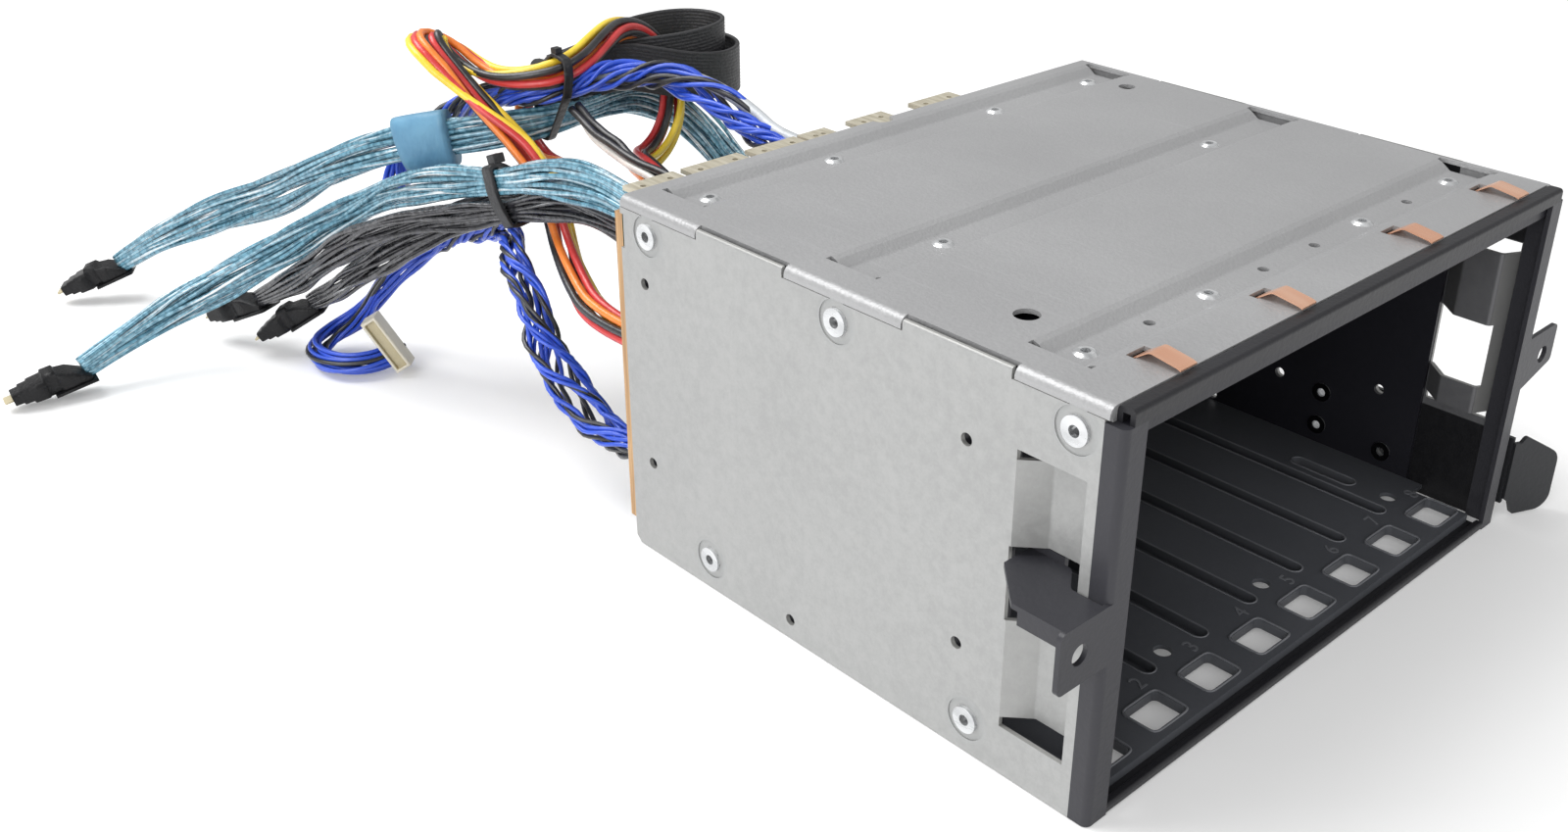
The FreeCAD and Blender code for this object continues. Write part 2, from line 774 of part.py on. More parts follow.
def make_post(name, side, taper):
    """The post; its ear's lower edge rises by the taper towards the outer end."""
    body = new_body(name)
    section = new_sketch(body, "XY_Plane", 0)
    inner = SIDE - S.post_front
    outline = [(SIDE, FRONT), (SIDE, POST_BACK), (PLATE_IN, POST_BACK),
               (PLATE_IN, POST_BACK + S.post_tongue), (WALL_IN, POST_BACK + S.post_tongue),
               (WALL_IN, FRONT + GAUGE), (inner, FRONT + GAUGE), (inner, FRONT)]
    draw_outline(section, [(side * x, y) for x, y in outline])
    pad(body, section, CEILING_TOP)
    round_edges(body, S.post_round, lambda edge: runs_along(edge, 2) and passes(
        edge, [(0, side * SIDE), (1, FRONT)]))

    ear = new_sketch(body, "XZ_Plane", -FRONT - GAUGE)
    outer = SIDE + S.ear_reach
    draw_outline(ear, [(side * x, z) for x, z in (
        (SIDE - S.post_round, EAR_BASE), (outer, EAR_BASE + taper), (outer, EAR_TOP),
        (SIDE - S.post_round, EAR_TOP))])
    pad(body, ear, GAUGE)
    round_edges(body, S.ear_round, lambda edge: runs_along(edge, 1) and passes(
        edge, [(0, side * outer), (2, EAR_BASE + taper)], [(0, side * outer), (2, EAR_TOP)]))
    hole = new_sketch(body, "XZ_Plane", -FRONT)
    draw_circle(hole, side * (SIDE + S.ear_hole_reach), S.ear_hole_height, S.ear_hole_radius)
    pocket(body, hole, GAUGE * 2)
    return body


def make_left_arm(body):
    """A bracket arm that runs back from the left ear and in through the side window."""
    outer = SIDE + S.arm_reach
    neck = SIDE + S.arm_gap
    inner = SIDE - S.arm_inset
    level = EAR_TOP - GAUGE
    corners = [(neck, FRONT), (neck, FRONT + S.arm_neck), (inner, FRONT + S.arm_shoulder),
               (inner, FRONT + S.arm_length), (outer - S.arm_corner_x, FRONT + S.arm_length),
               (outer, FRONT + S.arm_length - S.arm_corner_y), (outer, FRONT)]
    arm = new_sketch(body, "XY_Plane", level)
    draw_outline(arm, [(-x, y) for x, y in corners])
    pad(body, arm, GAUGE)
    round_edges(body, S.arm_round, lambda edge: runs_along(edge, 2) and passes(
        edge, *[[(0, -x), (1, y)] for x, y in corners[1:3]]))
    lip = new_sketch(body, "XY_Plane", level - S.arm_lip)
    draw_box(lip, -outer, GAUGE - outer, FRONT, FRONT + S.arm_lip_length)
    pad(body, lip, S.arm_lip)
    curb = new_sketch(body, "XY_Plane", level)
    draw_box(curb, -inner, GAUGE - inner, FRONT + S.arm_shoulder + S.arm_round,
             FRONT + S.arm_length)
    pad(body, curb, GAUGE + S.arm_curb)


make_left_arm(make_post("left_post", -1, size(0)))
make_post("right_post", 1, S.ear_taper)


# ---- front rails across the top and the bottom of the opening ------------------------------

def make_top_rail():
    """An inverted channel that stands on the ceiling's front edge."""
    body = new_body("top_rail")
    section = new_sketch(body, "YZ_Plane", -SIDE + S.rail_end)
    back = FRONT + S.rail_depth
    web = TOP - GAUGE
    draw_outline(section, [(FRONT, CEILING_TOP), (FRONT, TOP), (back, TOP), (back, CEILING_TOP),
                           (back - GAUGE, CEILING_TOP), (back - GAUGE, web),
                           (FRONT + GAUGE, web), (FRONT + GAUGE, CEILING_TOP)])
    pad(body, section, S.cage_width - S.rail_end * 2)
    round_edges(body, S.rail_round, lambda edge: runs_along(edge, 0) and passes(
        edge, [(1, FRONT), (2, TOP)], [(1, back), (2, TOP)]))


def make_bottom_rail():
    """A folded hem with a web that runs back under the floor."""
    body = new_body("bottom_rail")
    reach = SIDE - S.post_front
    section = new_sketch(body, "YZ_Plane", -reach)
    web = GAUGE - S.sheet_gap
    draw_outline(section, [(FRONT, 0), (FRONT + S.hem_web, 0), (FRONT + S.hem_web, web),
                           (FRONT + S.hem_depth, web), (FRONT + S.hem_depth, S.hem_height),
                           (FRONT, S.hem_height)])
    pad(body, section, reach * 2)
    round_edges(body, S.hem_round, lambda edge: runs_along(edge, 0) and passes(
        edge, [(1, FRONT), (2, 0)], [(1, FRONT), (2, S.hem_height)],
        [(1, FRONT + S.hem_depth), (2, S.hem_height)]))


make_top_rail()
make_bottom_rail()


# ---- ceiling and floor: sheets with a pressed guide between neighbouring bays --------------

def press_beads(body, skin_top, inner_radius, depth):
    """Presses a round-ended channel down into a sheet along each line between two bays."""
    low = FRONT + S.groove_start
    high = FRONT + S.groove_end
    lines = [bay_centre(bay + 0.5) for bay in range(1, BAYS)]
    shells = new_sketch(body, "XY_Plane", skin_top - GAUGE - depth)
    for x in lines:
        draw_slot(shells, x, low, high, inner_radius + GAUGE)
    pad(body, shells, depth)
    channels = new_sketch(body, "XY_Plane", skin_top)
    for x in lines:
        draw_slot(channels, x, low, high, inner_radius)
    pocket(body, channels, depth)


def make_ceiling():
    body = new_body("bay_ceiling")
    front = FRONT + S.ceiling_front
    plate = new_sketch(body, "XY_Plane", CEILING)
    draw_box(plate, -DECK, DECK, front, CARRIER - S.sheet_gap)
    pad(body, plate, GAUGE)
    lip = new_sketch(body, "XZ_Plane", -front - GAUGE)
    reach = SIDE - S.post_front - S.sheet_gap
    draw_box(lip, -reach, reach, CEILING - S.ceiling_lip, CEILING)
    pad(body, lip, GAUGE)
    press_beads(body, CEILING_TOP, S.guide_width / 2, S.guide_height)
    holes = new_sketch(body, "XY_Plane", CEILING_TOP)
    for x, y in clinch_places():
        draw_circle(holes, x, y, S.clinch_bore)
    pocket(body, holes, GAUGE)


def make_floor():
    body = new_body("bay_floor")
    front = FRONT + S.floor_front
    step_x = DECK - S.floor_step_x
    step_y = FRONT + S.floor_step_y
    back = CARRIER - S.sheet_gap
    underside = FLOOR - GAUGE
    plate = new_sketch(body, "XY_Plane", underside)
    draw_outline(plate, [(-DECK, front), (step_x, front), (step_x, step_y), (DECK, step_y),
                         (DECK, back), (-DECK, back)])
    pad(body, plate, GAUGE)
    flange = new_sketch(body, "XZ_Plane", -front - GAUGE)
    reach = SIDE - S.post_front - S.sheet_gap
    draw_box(flange, -reach, step_x, GAUGE, underside)
    pad(body, flange, GAUGE)

    windows = [bay_centre(bay) - S.window_slot_shift for bay in range(1, BAYS + 1)]
    low = FRONT + S.window_slot_front
    half = S.window_slot_width / 2
    slot_low = FRONT + S.floor_slot_front + S.floor_slot_radius
    slot_high = slot_low + S.floor_slot_length - S.floor_slot_radius * 2
    collars = new_sketch(body, "XY_Plane", underside - S.collar_depth)
    for x in windows:
        draw_box(collars, x - half - S.window_collar, x + half + S.window_collar,
                 low - S.window_collar, low + S.window_slot_depth + S.window_collar)
    draw_slot(collars, S.floor_slot_x, slot_low, slot_high, S.floor_slot_radius + GAUGE)
    pad(body, collars, S.collar_depth)
    openings = new_sketch(body, "XY_Plane", FLOOR)
    for x in windows:
        draw_box(openings, x - half, x + half, low, low + S.window_slot_depth)
    draw_slot(openings, S.floor_slot_x, slot_low, slot_high, S.floor_slot_radius)
    for bay in (3, 5, 8):
        draw_circle(openings, bay_centre(bay) - S.floor_hole_shift, FRONT + S.floor_hole_front,
                    S.floor_hole_radius)
    pocket(body, openings, GAUGE + S.collar_depth)
    corners = [[(0, x + side * half), (1, y)] for x in windows for side in (-1, 1)
               for y in (low, low + S.window_slot_depth)]
    round_edges(body, S.window_round,
                lambda edge: runs_along(edge, 2) and passes(edge, *corners))
    press_beads(body, FLOOR, S.groove_width / 2, S.groove_depth)


make_ceiling()
make_floor()


# ---- contact fingers: copper springs that arch forward out of slots in the cover -----------

def make_finger(index, middle):
    body = new_body(f"contact_finger_{index}")
    root = FRONT + S.finger_root
    crest = FRONT + S.finger_crest
    tip = FRONT + S.finger_tip
    lip = tip + S.finger_lip
    sink = TOP - S.finger_sink
    lift = TOP + S.finger_lift
    gauge = S.finger_gauge
    section = new_sketch(body, "YZ_Plane", middle - S.finger_width / 2)
    draw_outline(section, [
        (root + gauge, sink), (crest, TOP + S.finger_rise),
        (lip, lift + S.finger_lip_rise + gauge), (tip, lift + gauge), (tip, lift),
        (lip, lift + S.finger_lip_rise), (crest, TOP + S.finger_rise - gauge), (root, sink)])
    pad(body, section, S.finger_width)
    round_edges(body, S.finger_round, lambda edge: runs_along(edge, 0) and passes(
        edge, [(1, crest), (2, TOP + S.finger_rise)],
        [(1, crest), (2, TOP + S.finger_rise - gauge)]))


def make_finger_clips():
    """Clips against the cover's underside that hold the fingers' roots."""
    clips = []
    front = FRONT + S.clip_front
    back = FRONT + S.finger_root + S.finger_gauge
    for index, middle in enumerate(FINGERS, start=1):
        plate = make_box(f"clip_{index}", middle - S.finger_width / 2, front,
                         TOP - SKIN - S.finger_gauge, S.finger_width, back - front,
                         S.finger_gauge)
        clips.append(plate)
    group("finger_clips", clips)


for number, place in enumerate(FINGERS, start=1):
    make_finger(number, place)
make_finger_clips()


# ---- release latch: a spring leaf beside the right plate, with a thumb paddle --------------

LEAF_IN = SIDE + S.latch_gap
LEAF_OUT = LEAF_IN + S.latch_gauge
LATCH_TOP = S.latch_base + S.latch_height


def make_latch_lever():
    body = new_body("latch_lever")
    leaf = new_sketch(body, "YZ_Plane", LEAF_IN)
    draw_box(leaf, FRONT + S.latch_front, LATCH_PIVOT - S.latch_joint_gap, S.latch_base,
             LATCH_TOP)
    pad(body, leaf, S.latch_gauge)

    hook = new_sketch(body, "XY_Plane", S.latch_base + (S.latch_height - S.hook_width) / 2)
    back = FRONT + S.hook_back
    draw_outline(hook, [(LEAF_OUT, back), (LEAF_OUT, back - S.hook_run),
                        (LEAF_OUT + S.hook_height, back - S.hook_run)])
    pad(body, hook, S.hook_width)

    paddle = new_sketch(body, "XZ_Plane", 0)
    origin = {"x": LEAF_OUT, "y": size(0), "z": -FRONT - S.latch_front}
    turn = Rotation(Vector(0, 1, 0), -S.paddle_angle.value)
    paddle.AttachmentOffset = Placement(Vector(*(goal.value for goal in origin.values())), turn)
    for axis, goal in origin.items():
        paddle.setExpression(f".AttachmentOffset.Base.{axis}", goal.text)
    paddle.setExpression(".AttachmentOffset.Rotation.Angle", (-S.paddle_angle).text)
    reach = S.paddle_length
    top = S.paddle_base + S.paddle_height
    root = -S.latch_gauge / 2
    draw_outline(paddle, [
        (root, S.latch_base + S.paddle_relief), (S.paddle_relief, S.latch_base),
        (S.paddle_relief * 2, S.paddle_base), (reach, S.paddle_base),
        (reach, top - S.paddle_slope), (S.paddle_relief * 2, top),
        (S.paddle_relief, LATCH_TOP - S.paddle_relief), (root, LATCH_TOP - S.paddle_relief)])
    pad(body, paddle, S.latch_gauge)
    doc.recompute()
    tip = max(vertex.X for vertex in body.Tip.Shape.Vertexes)
    gauge = S.latch_gauge.value

    def crosses_sheet(edge):
        return abs(edge.Length - gauge) < 0.01 and edge.BoundBox.Center.x > LEAF_OUT.value + gauge
    round_edges(body, S.paddle_round,
                lambda edge: crosses_sheet(edge) and edge.BoundBox.Center.x > tip - gauge)
    round_edges(body, S.relief_round, crosses_sheet)


def make_latch_foot():
    """The leaf's fixed end, stepped in to the side plate and riveted to it."""
    body = new_body("latch_foot")
    section = new_sketch(body, "XY_Plane", S.latch_base)
    neck = LATCH_PIVOT + S.latch_neck
    seat = neck + S.latch_slope
    end = LATCH_PIVOT + S.latch_foot
    gauge = S.latch_gauge
    draw_outline(section, [(LEAF_IN, LATCH_PIVOT), (LEAF_OUT, LATCH_PIVOT), (LEAF_OUT, neck),
                           (SIDE + gauge, seat), (SIDE + gauge, end), (SIDE, end),
                           (SIDE, seat - S.foot_turn), (LEAF_IN, neck - S.foot_turn)])
    pad(body, section, S.latch_height)
    holes = new_sketch(body, "YZ_Plane", SIDE + gauge)
    for height in latch_rivets():
        draw_circle(holes, LATCH_PIVOT + S.latch_rivet_back, height, S.rivet_shank + S.rivet_gap)
    pocket(body, holes, gauge)


make_latch_lever()
make_latch_foot()


# ---- rivets ------------------------------------------------------------------------------

def make_rivet(name, side, seat, y, z, tail_seat):
    """A hollow rivet through the side; seat and tail_seat are its heads' planes in |x|."""
    out = "+X"
    low = tail_seat - S.tail_height
    if side < 0:
        low = -seat - S.rivet_proud - S.dimple_depth
    head_low = seat if side > 0 else low
    tail_low = low if side > 0 else -tail_seat
    shank_low = tail_seat if side > 0 else -seat
    head = make_cylinder(f"{name}_head", out, head_low, y, z, S.rivet_radius,
                         S.rivet_proud + S.dimple_depth)
    shank = make_cylinder(f"{name}_shank", out, shank_low, y, z, S.rivet_shank, seat - tail_seat)
    tail = make_cylinder(f"{name}_tail", out, tail_low, y, z, S.rivet_tail, S.tail_height)
    length = seat - tail_seat + S.tail_height + S.rivet_proud + S.dimple_depth
    bore = make_cylinder(f"{name}_bore", out, low, y, z, S.rivet_bore, length)
    return cut(name, fuse(f"{name}_solid", head, shank, tail), bore)


def make_side_rivets(name, side):
    upper, lower = rivet_places()
    flange_in = PLATE_IN - S.sheet_gap - SKIN
    seat = SIDE - S.dimple_depth
    rivets = [make_rivet(f"{name}_upper_{k}", side, seat, y, z, flange_in)
              for k, (y, z) in enumerate(upper)]
    rivets += [make_rivet(f"{name}_lower_{k}", side, seat, y, z, WALL_IN)
               for k, (y, z) in enumerate(lower)]
    group(name, rivets)


def make_latch_rivets():
    seat = SIDE + S.latch_gauge
    group("latch_rivets", [
        make_rivet(f"latch_rivet_{k}", 1, seat, LATCH_PIVOT + S.latch_rivet_back, z, WALL_IN)
        for k, z in enumerate(latch_rivets())])


def make_clinches():
    """Raised hollow buttons where the cover's troughs are clinched to the ceiling."""
    rings = []
    seat = TOP - S.trough_depth
    for index, (x, y) in enumerate(clinch_places()):
        button = doc.addObject("Part::Cone", f"button_{index}")
        bind(button, Radius1=S.clinch_radius, Radius2=S.clinch_radius - S.clinch_slope,
             Height=S.clinch_rise, _at_x=x, _at_y=y, _at_z=seat)
        sleeve = make_cylinder(f"sleeve_{index}", "+Z", x, y, CEILING,
                               S.clinch_bore - S.rivet_gap, seat - CEILING)
        bore = make_cylinder(f"sleeve_bore_{index}", "+Z", x, y, CEILING,
                             S.clinch_bore - S.rivet_gap - S.clinch_wall,
                             seat - CEILING + S.clinch_rise)
        solid = fuse(f"clinch_solid_{index}", button, sleeve)
        rings.append(cut(f"clinch_{index}", solid, bore))
    group("top_clinches", rings)


make_side_rivets("left_rivets", -1)
make_side_rivets("right_rivets", 1)
make_latch_rivets()
make_clinches()


# ---- backplane: carrier sheet, circuit board, drive connectors and screws ------------------

def board_screw_places():
    low = S.board_base + S.screw_low
    return [(side * (DECK - S.screw_inset), z) for side in (-1, 1)
            for z in (low, low + S.screw_pitch)]


def make_board_carrier():
    body = new_body("board_carrier")
    sheet_face = new_sketch(body, "XZ_Plane", -REAR)
    top = TOP - SKIN
    draw_box(sheet_face, -DECK, DECK, S.carrier_base, CEILING_TOP)
    pad(body, sheet_face, S.carrier_gauge)
    tabs = [(named(f"tab_{k}_middle"), named(f"tab_{k}_width")) for k in range(1, 7)]
    risers = new_sketch(body, "XZ_Plane", -REAR)
    for middle, width in tabs:
        draw_box(risers, middle - width / 2, middle + width / 2, CEILING_TOP, top)
    pad(body, risers, S.carrier_gauge)
    shelves = new_sketch(body, "XY_Plane", top - S.carrier_gauge)
    for middle, width in tabs:
        draw_box(shelves, middle - width / 2, middle + width / 2, REAR, REAR + S.tab_reach)
    pad(body, shelves, S.carrier_gauge)
    pins = new_sketch(body, "XY_Plane", top)
    for middle, width in tabs:
        for side in (-1, 1):
            draw_circle(pins, middle + side * (width / 2 - S.tab_hole_side),
                        REAR + S.tab_reach / 2, S.tab_hole_radius)
    pocket(body, pins, S.carrier_gauge)
    slots = new_sketch(body, "XZ_Plane", -CARRIER)
    reach = S.plug_body_width / 2 + S.carrier_slot_clearance
    for bay in range(1, BAYS + 1):
        x = bay_centre(bay)
        draw_box(slots, x - reach, x + reach, S.plug_body_base - S.carrier_slot_clearance,
                 S.plug_body_base + S.plug_body_height + S.carrier_slot_clearance)
    for x, z in board_screw_places():
        draw_circle(slots, x, z, S.screw_radius + S.rivet_gap)
    pocket(body, slots, S.carrier_gauge)


def make_backplane_board():
    body = new_body("backplane_board")
    face = new_sketch(body, "XZ_Plane", -REAR - S.board_gauge)
    reach = SIDE - S.board_margin
    draw_box(face, -reach, reach, S.board_base, BOARD_TOP)
    pad(body, face, S.board_gauge)
    holes = new_sketch(body, "XZ_Plane", -REAR)
    for x, z in board_screw_places():
        draw_circle(holes, x, z, S.screw_radius + S.rivet_gap)
    pocket(body, holes, S.board_gauge)


def make_drive_connector(bay):
    """A blind-mate socket: a shell with a deep mouth and a contact tongue inside it."""
    body = new_body(f"drive_connector_{bay}")
    x = bay_centre(bay)
    low = S.plug_body_base
    high = low + S.plug_body_height
    half = S.plug_body_width / 2
    shell = new_sketch(body, "XZ_Plane", -REAR)
    draw_outline(shell, [(x - half, low), (x + half - S.key_bevel, low),
                         (x + half, low + S.key_bevel), (x + half, high), (x - half, high)])
    pad(body, shell, S.plug_body_depth)
    mouth = new_sketch(body, "XZ_Plane", -REAR + S.plug_body_depth)
    draw_box(mouth, x - half + S.mouth_wall, x + half - S.mouth_wall, low + S.key_bevel,
             high - S.mouth_wall)
    pocket(body, mouth, S.mouth_depth)
    tongue = new_sketch(body, "XZ_Plane", -REAR + S.plug_body_depth - S.mouth_depth)
    draw_box(tongue, x - S.tongue_gauge / 2, x + S.tongue_gauge / 2,
             low + S.key_bevel + S.mouth_wall, high - S.mouth_wall * 2)
    pad(body, tongue, S.mouth_depth - S.tongue_sink)


def make_board_screws():
    """Pan head screws through the board into the carrier sheet."""
    screws = []
    back = REAR + S.board_gauge
    for index, (x, z) in enumerate(board_screw_places()):
        shank = make_cylinder(f"screw_shank_{index}", "+Y", x, CARRIER, z, S.screw_radius,
                              back - CARRIER)
        head = doc.addObject("Part::Cone", f"screw_head_{index}")
        head.Placement = Placement(Vector(), Rotation(Vector(1, 0, 0), -90))
        bind(head, Radius1=S.screw_head_radius, Radius2=S.screw_head_radius * S.screw_head_taper,
             Height=S.screw_head_height, _at_x=x, _at_y=back, _at_z=z)
        screws.append(fuse(f"screw_{index}", shank, head))
    group("board_screws", screws)


make_board_carrier()
make_backplane_board()
for bay_number in range(1, BAYS + 1):
    make_drive_connector(bay_number)
make_board_screws()


# ---- cable loom: headers, cords, plugs and ties --------------------------------------------

HEADER_FRONT = REAR + S.board_gauge

# The points of each cord's route, from where it leaves the cage to its far end.
ROUTES = {
    "data_cable_1": [
        (6, 74.75, 42.5), (6, 83.75, 42.5), (7, 98.75, 43.5), (8, 113.75, 46), (9, 126.75, 50.5),
        (8, 136.75, 57.5), (3, 143.75, 64.5), (-6, 146.75, 69), (-16, 145.25, 70),
        (-26, 141.25, 70.5), (-36, 139.25, 71), (-45.5, 141.75, 70), (-54, 149.25, 68),
        (-61, 159.75, 65.5), (-66, 170.75, 62), (-71, 182.75, 57), (-75, 195.75, 50.5),
        (-78, 208.75, 43.5), (-82, 221.75, 37.5), (-88, 233.75, 31.5), (-94, 245.75, 25),
        (-99, 257.75, 18), (-103, 267.75, 11),
    ],
    "data_cable_2": [
        (-64.5, 74.75, 72.8), (-64.5, 82.75, 72.8), (-65, 94.25, 75.5), (-65.5, 106.75, 74.3),
        (-66, 119.75, 69), (-67, 131.75, 65.5), (-70, 144.75, 61.5), (-71, 158.75, 55.5),
        (-73, 173.75, 47.5), (-79, 187.75, 38.5), (-87, 198.75, 30.5), (-97, 206.75, 24),
        (-110, 212.75, 17.5), (-123, 215.75, 11.5), (-135, 215.75, 7),
    ],
    "data_cable_3": [
        (-60.5, 74.75, 63.2), (-60.5, 82.75, 63.2), (-61.2, 94.75, 66.8), (-62.5, 107.75, 66.5),
        (-64.5, 119.75, 61.5), (-69, 131.75, 57), (-74, 144.75, 53), (-79, 157.75, 47),
        (-83, 170.75, 39), (-85, 183.75, 30), (-86.5, 196.75, 22), (-89, 208.75, 15),
    ],
    "data_cable_4": [
        (-53.7, 74.75, 66), (-53.7, 82.75, 66), (-54.5, 95.25, 69.5), (-56, 108.75, 68),
        (-58, 120.75, 63), (-61.5, 130.75, 57.5), (-66, 140.75, 51.5), (-72, 150.75, 45),
        (-76.5, 161.75, 37.5), (-79.5, 173.75, 29), (-80, 185.25, 21.5), (-80, 196.25, 15.5),
    ],
    "power_cable": [
        (-68, 74.75, 46), (-68, 82.75, 46), (-65, 93.75, 50), (-60, 104.75, 52.5),
        (-54.5, 114.75, 55.5), (-50.5, 123.75, 60.5), (-51, 131.25, 67.5), (-54, 138.75, 74),
        (-56.5, 146.75, 79.5), (-59, 153.75, 84.5), (-59.5, 159.25, 90), (-56, 163.25, 94.5),
        (-49, 163.25, 94.5), (-45.5, 158.75, 90.5), (-45, 151.75, 88), (-46, 144.25, 86.5),
        (-45.5, 136.75, 85.2), (-40.5, 131.75, 86), (-32.5, 133.25, 89), (-25, 136.75, 91),
        (-17.5, 140.75, 91.7), (-9.5, 143.55, 89.2), (-3, 143.25, 82), (-1.5, 140.25, 73.3),
        (-4.5, 133.25, 66), (-10.5, 125.75, 61.5), (-16.5, 117.75, 60), (-22.5, 108.75, 59),
        (-28, 98.75, 57.5), (-31, 89.75, 55.5), (-32, 82.25, 55), (-32, 74.75, 55),
    ],
    "power_branch": [
        (-35, 147.75, 80), (-39, 150.75, 74), (-40.5, 148.25, 66), (-41.5, 140.25, 60.5),
        (-43, 129.75, 61), (-45, 118.25, 64), (-47.5, 104.75, 65.5), (-46.5, 92.75, 62.5),
        (-44, 83.25, 59), (-44, 74.75, 59),
    ],
    "return_lead": [
        (-37, 130.75, 75.5), (-37, 123.75, 71.5), (-37.5, 114.75, 69.5), (-38, 104.75, 68),
        (-38, 93.75, 66.5), (-37.7, 83.75, 64.5), (-37.7, 74.75, 64.5),
    ],
    "signal_harness_low": [
        (-68, 74.75, 17.5), (-68, 81.75, 17.5), (-70.5, 89.75, 22), (-74.5, 97.25, 30),
        (-75.5, 102.75, 37.5), (-73.5, 107.75, 44.5), (-69, 113.25, 49.5), (-63.5, 120.75, 52),
        (-59, 129.75, 50.3), (-58.5, 140.25, 47), (-60.5, 150.75, 42), (-63.5, 161.25, 35),
        (-66, 171.25, 27.5), (-67.5, 179.75, 20), (-67.5, 186.75, 14), (-70, 192.75, 8.5),
        (-76, 196.25, 5), (-82.5, 193.75, 3.8), (-84.5, 186.75, 3.8), (-83, 179.25, 3.8),
        (-79.5, 172.75, 3.9), (-74, 167.75, 4.2),
    ],
    "signal_harness_top": [
        (-16, 74.75, 72), (-16, 82.75, 72), (-15.8, 93.75, 77.5), (-17, 105.75, 81.5),
        (-19, 116.75, 82.7), (-24, 125.75, 82.5), (-31.5, 132.25, 81), (-40, 136.45, 79.3),
        (-46.2, 143.95, 78), (-48.5, 154.75, 74.5), (-50, 165.75, 68.5), (-53.5, 175.75, 60.5),
        (-58, 181.75, 51.5), (-62, 182.75, 42.5),
    ],
    "ribbon_cable_1": [
        (-30, 148.55, 81.5), (-21, 148.55, 81.5), (-10, 150.15, 81.8), (0, 151.95, 82),
        (8.5, 150.25, 82.3), (14.5, 145.25, 82.3), (16.8, 139.25, 81.8), (13.5, 134.95, 81.3),
        (5, 133.95, 80.8), (-4, 136.55, 80.2), (-12.5, 140.75, 79.9), (-21.5, 144.75, 81.5),
        (-30, 144.75, 81.5),
    ],
    "ribbon_cable_2": [
        (-30, 150.55, 81.5), (-20.5, 150.55, 81.5), (-10, 152.95, 79.5), (1, 155.05, 77.5),
        (10.5, 153.55, 76.5), (17.5, 148.25, 76), (20.3, 140.25, 75.5), (17, 132.25, 75.3),
        (8.5, 128.05, 75.5), (-1, 129.75, 76.5), (-9, 134.35, 78.5), (-16, 139.35, 80.2),
        (-22.5, 142.75, 81.5), (-30, 142.75, 81.5),
    ],
}
CORD_SIZES = {
    "data_cable_1": S.blue_cord, "data_cable_2": S.blue_cord,
    "data_cable_3": S.slim_cord, "data_cable_4": S.slim_cord,
    "power_cable": S.power_cord, "power_branch": S.branch_cord, "return_lead": S.return_cord,
    "signal_harness_low": S.low_harness, "signal_harness_top": S.top_harness,
}


def route_points(name):
    return [Vector(*point) for point in ROUTES[name]]


def route_path(name, diameter):
    """Straight runs joined by arcs, each as large as its two runs allow."""
    points = route_points(name)
    edges = []
    radii = []
    start = points[0]
    for before, corner, after in zip(points, points[1:], points[2:]):
        back = (before - corner).normalize()
        ahead = (after - corner).normalize()
        reach = 0.45 * min((before - corner).Length, (after - corner).Length)
        half_turn = (math.pi - back.getAngle(ahead)) / 2
        radius = reach / math.tan(half_turn)
        enter = corner + back * reach
        leave = corner + ahead * reach
        inward = (back + ahead).normalize()
        middle = corner + inward * (radius / math.cos(half_turn) - radius)
        edges.append(Part.LineSegment(start, enter).toShape())
        edges.append(Part.Arc(enter, middle, leave).toShape())
        radii.append(radius / diameter)
        start = leave
    edges.append(Part.LineSegment(start, points[-1]).toShape())
    print(name, f"{diameter:g} mm, radii in diameters:", " ".join(f"{r:.1f}" for r in radii))
    return Part.Wire(edges)


def add_cord(name, shape, expected):
    """Keeps a swept solid once its volume agrees with its section times its length."""
    if abs(shape.Volume / expected - 1) > 0.03:
        raise RuntimeError(f"{name} has {shape.Volume:.0f} mm3, not {expected:.0f}")
    item = doc.addObject("Part::Feature", name)
    item.Label = name
    item.Shape = shape


def make_cord(name, diameter):
    """A plain round tube along the cord's route."""
    path = route_path(name, diameter)
    first, second = route_points(name)[:2]
    rim = Part.Circle(first, second - first, diameter / 2).toShape()
    tube = path.makePipeShell([Part.Wire([rim])], True, False)
    add_cord(name, tube, math.pi * diameter ** 2 / 4 * path.Length)


def make_ribbon(name, width, gauge):
    """A flat cable on edge, whose upright stays upright along the route."""
    path = route_path(name, width)
    first, second = route_points(name)[:2]
    up = Vector(0, 0, 1)
    across = up.cross(second - first).normalize() * (gauge / 2)
    rise = up * (width / 2)
    corners = [first + across + rise, first + across - rise,
               first - across - rise, first - across + rise]
    pipe = Part.BRepOffsetAPI.MakePipeShell(path)
    pipe.setBiNormalMode(up)
    pipe.add(Part.makePolygon(corners + corners[:1]))
    pipe.build()
    pipe.makeSolid()
    add_cord(name, pipe.shape(), width * gauge * path.Length)


def make_header(name, ends):
    """A socket on the board's back that takes the cord ends given as (cord, 0 or -1)."""
    margin = S.header_margin.value
    places = [(Vector(*ROUTES[cord][end]), CORD_SIZES[cord].value / 2) for cord, end in ends]
    left = min(place.x - radius for place, radius in places) - margin
    right = max(place.x + radius for place, radius in places) + margin
    low = min(place.z - radius for place, radius in places) - margin
    high = min(max(place.z + radius for place, radius in places) + margin, BOARD_TOP.value)
    return make_box(name, left, HEADER_FRONT, low, right - left, S.header_depth, high - low)


def route_end(name, inward):
    """Where a cord's plug sits: at its last point, sunk inward along the given direction."""
    return Vector(*ROUTES[name][-1]) - inward


def seat(place, forward, up):
    """A placement whose X axis points forward and whose Z axis is near up."""
    return Placement(place, Rotation(forward, Vector(), up, "XZY"))


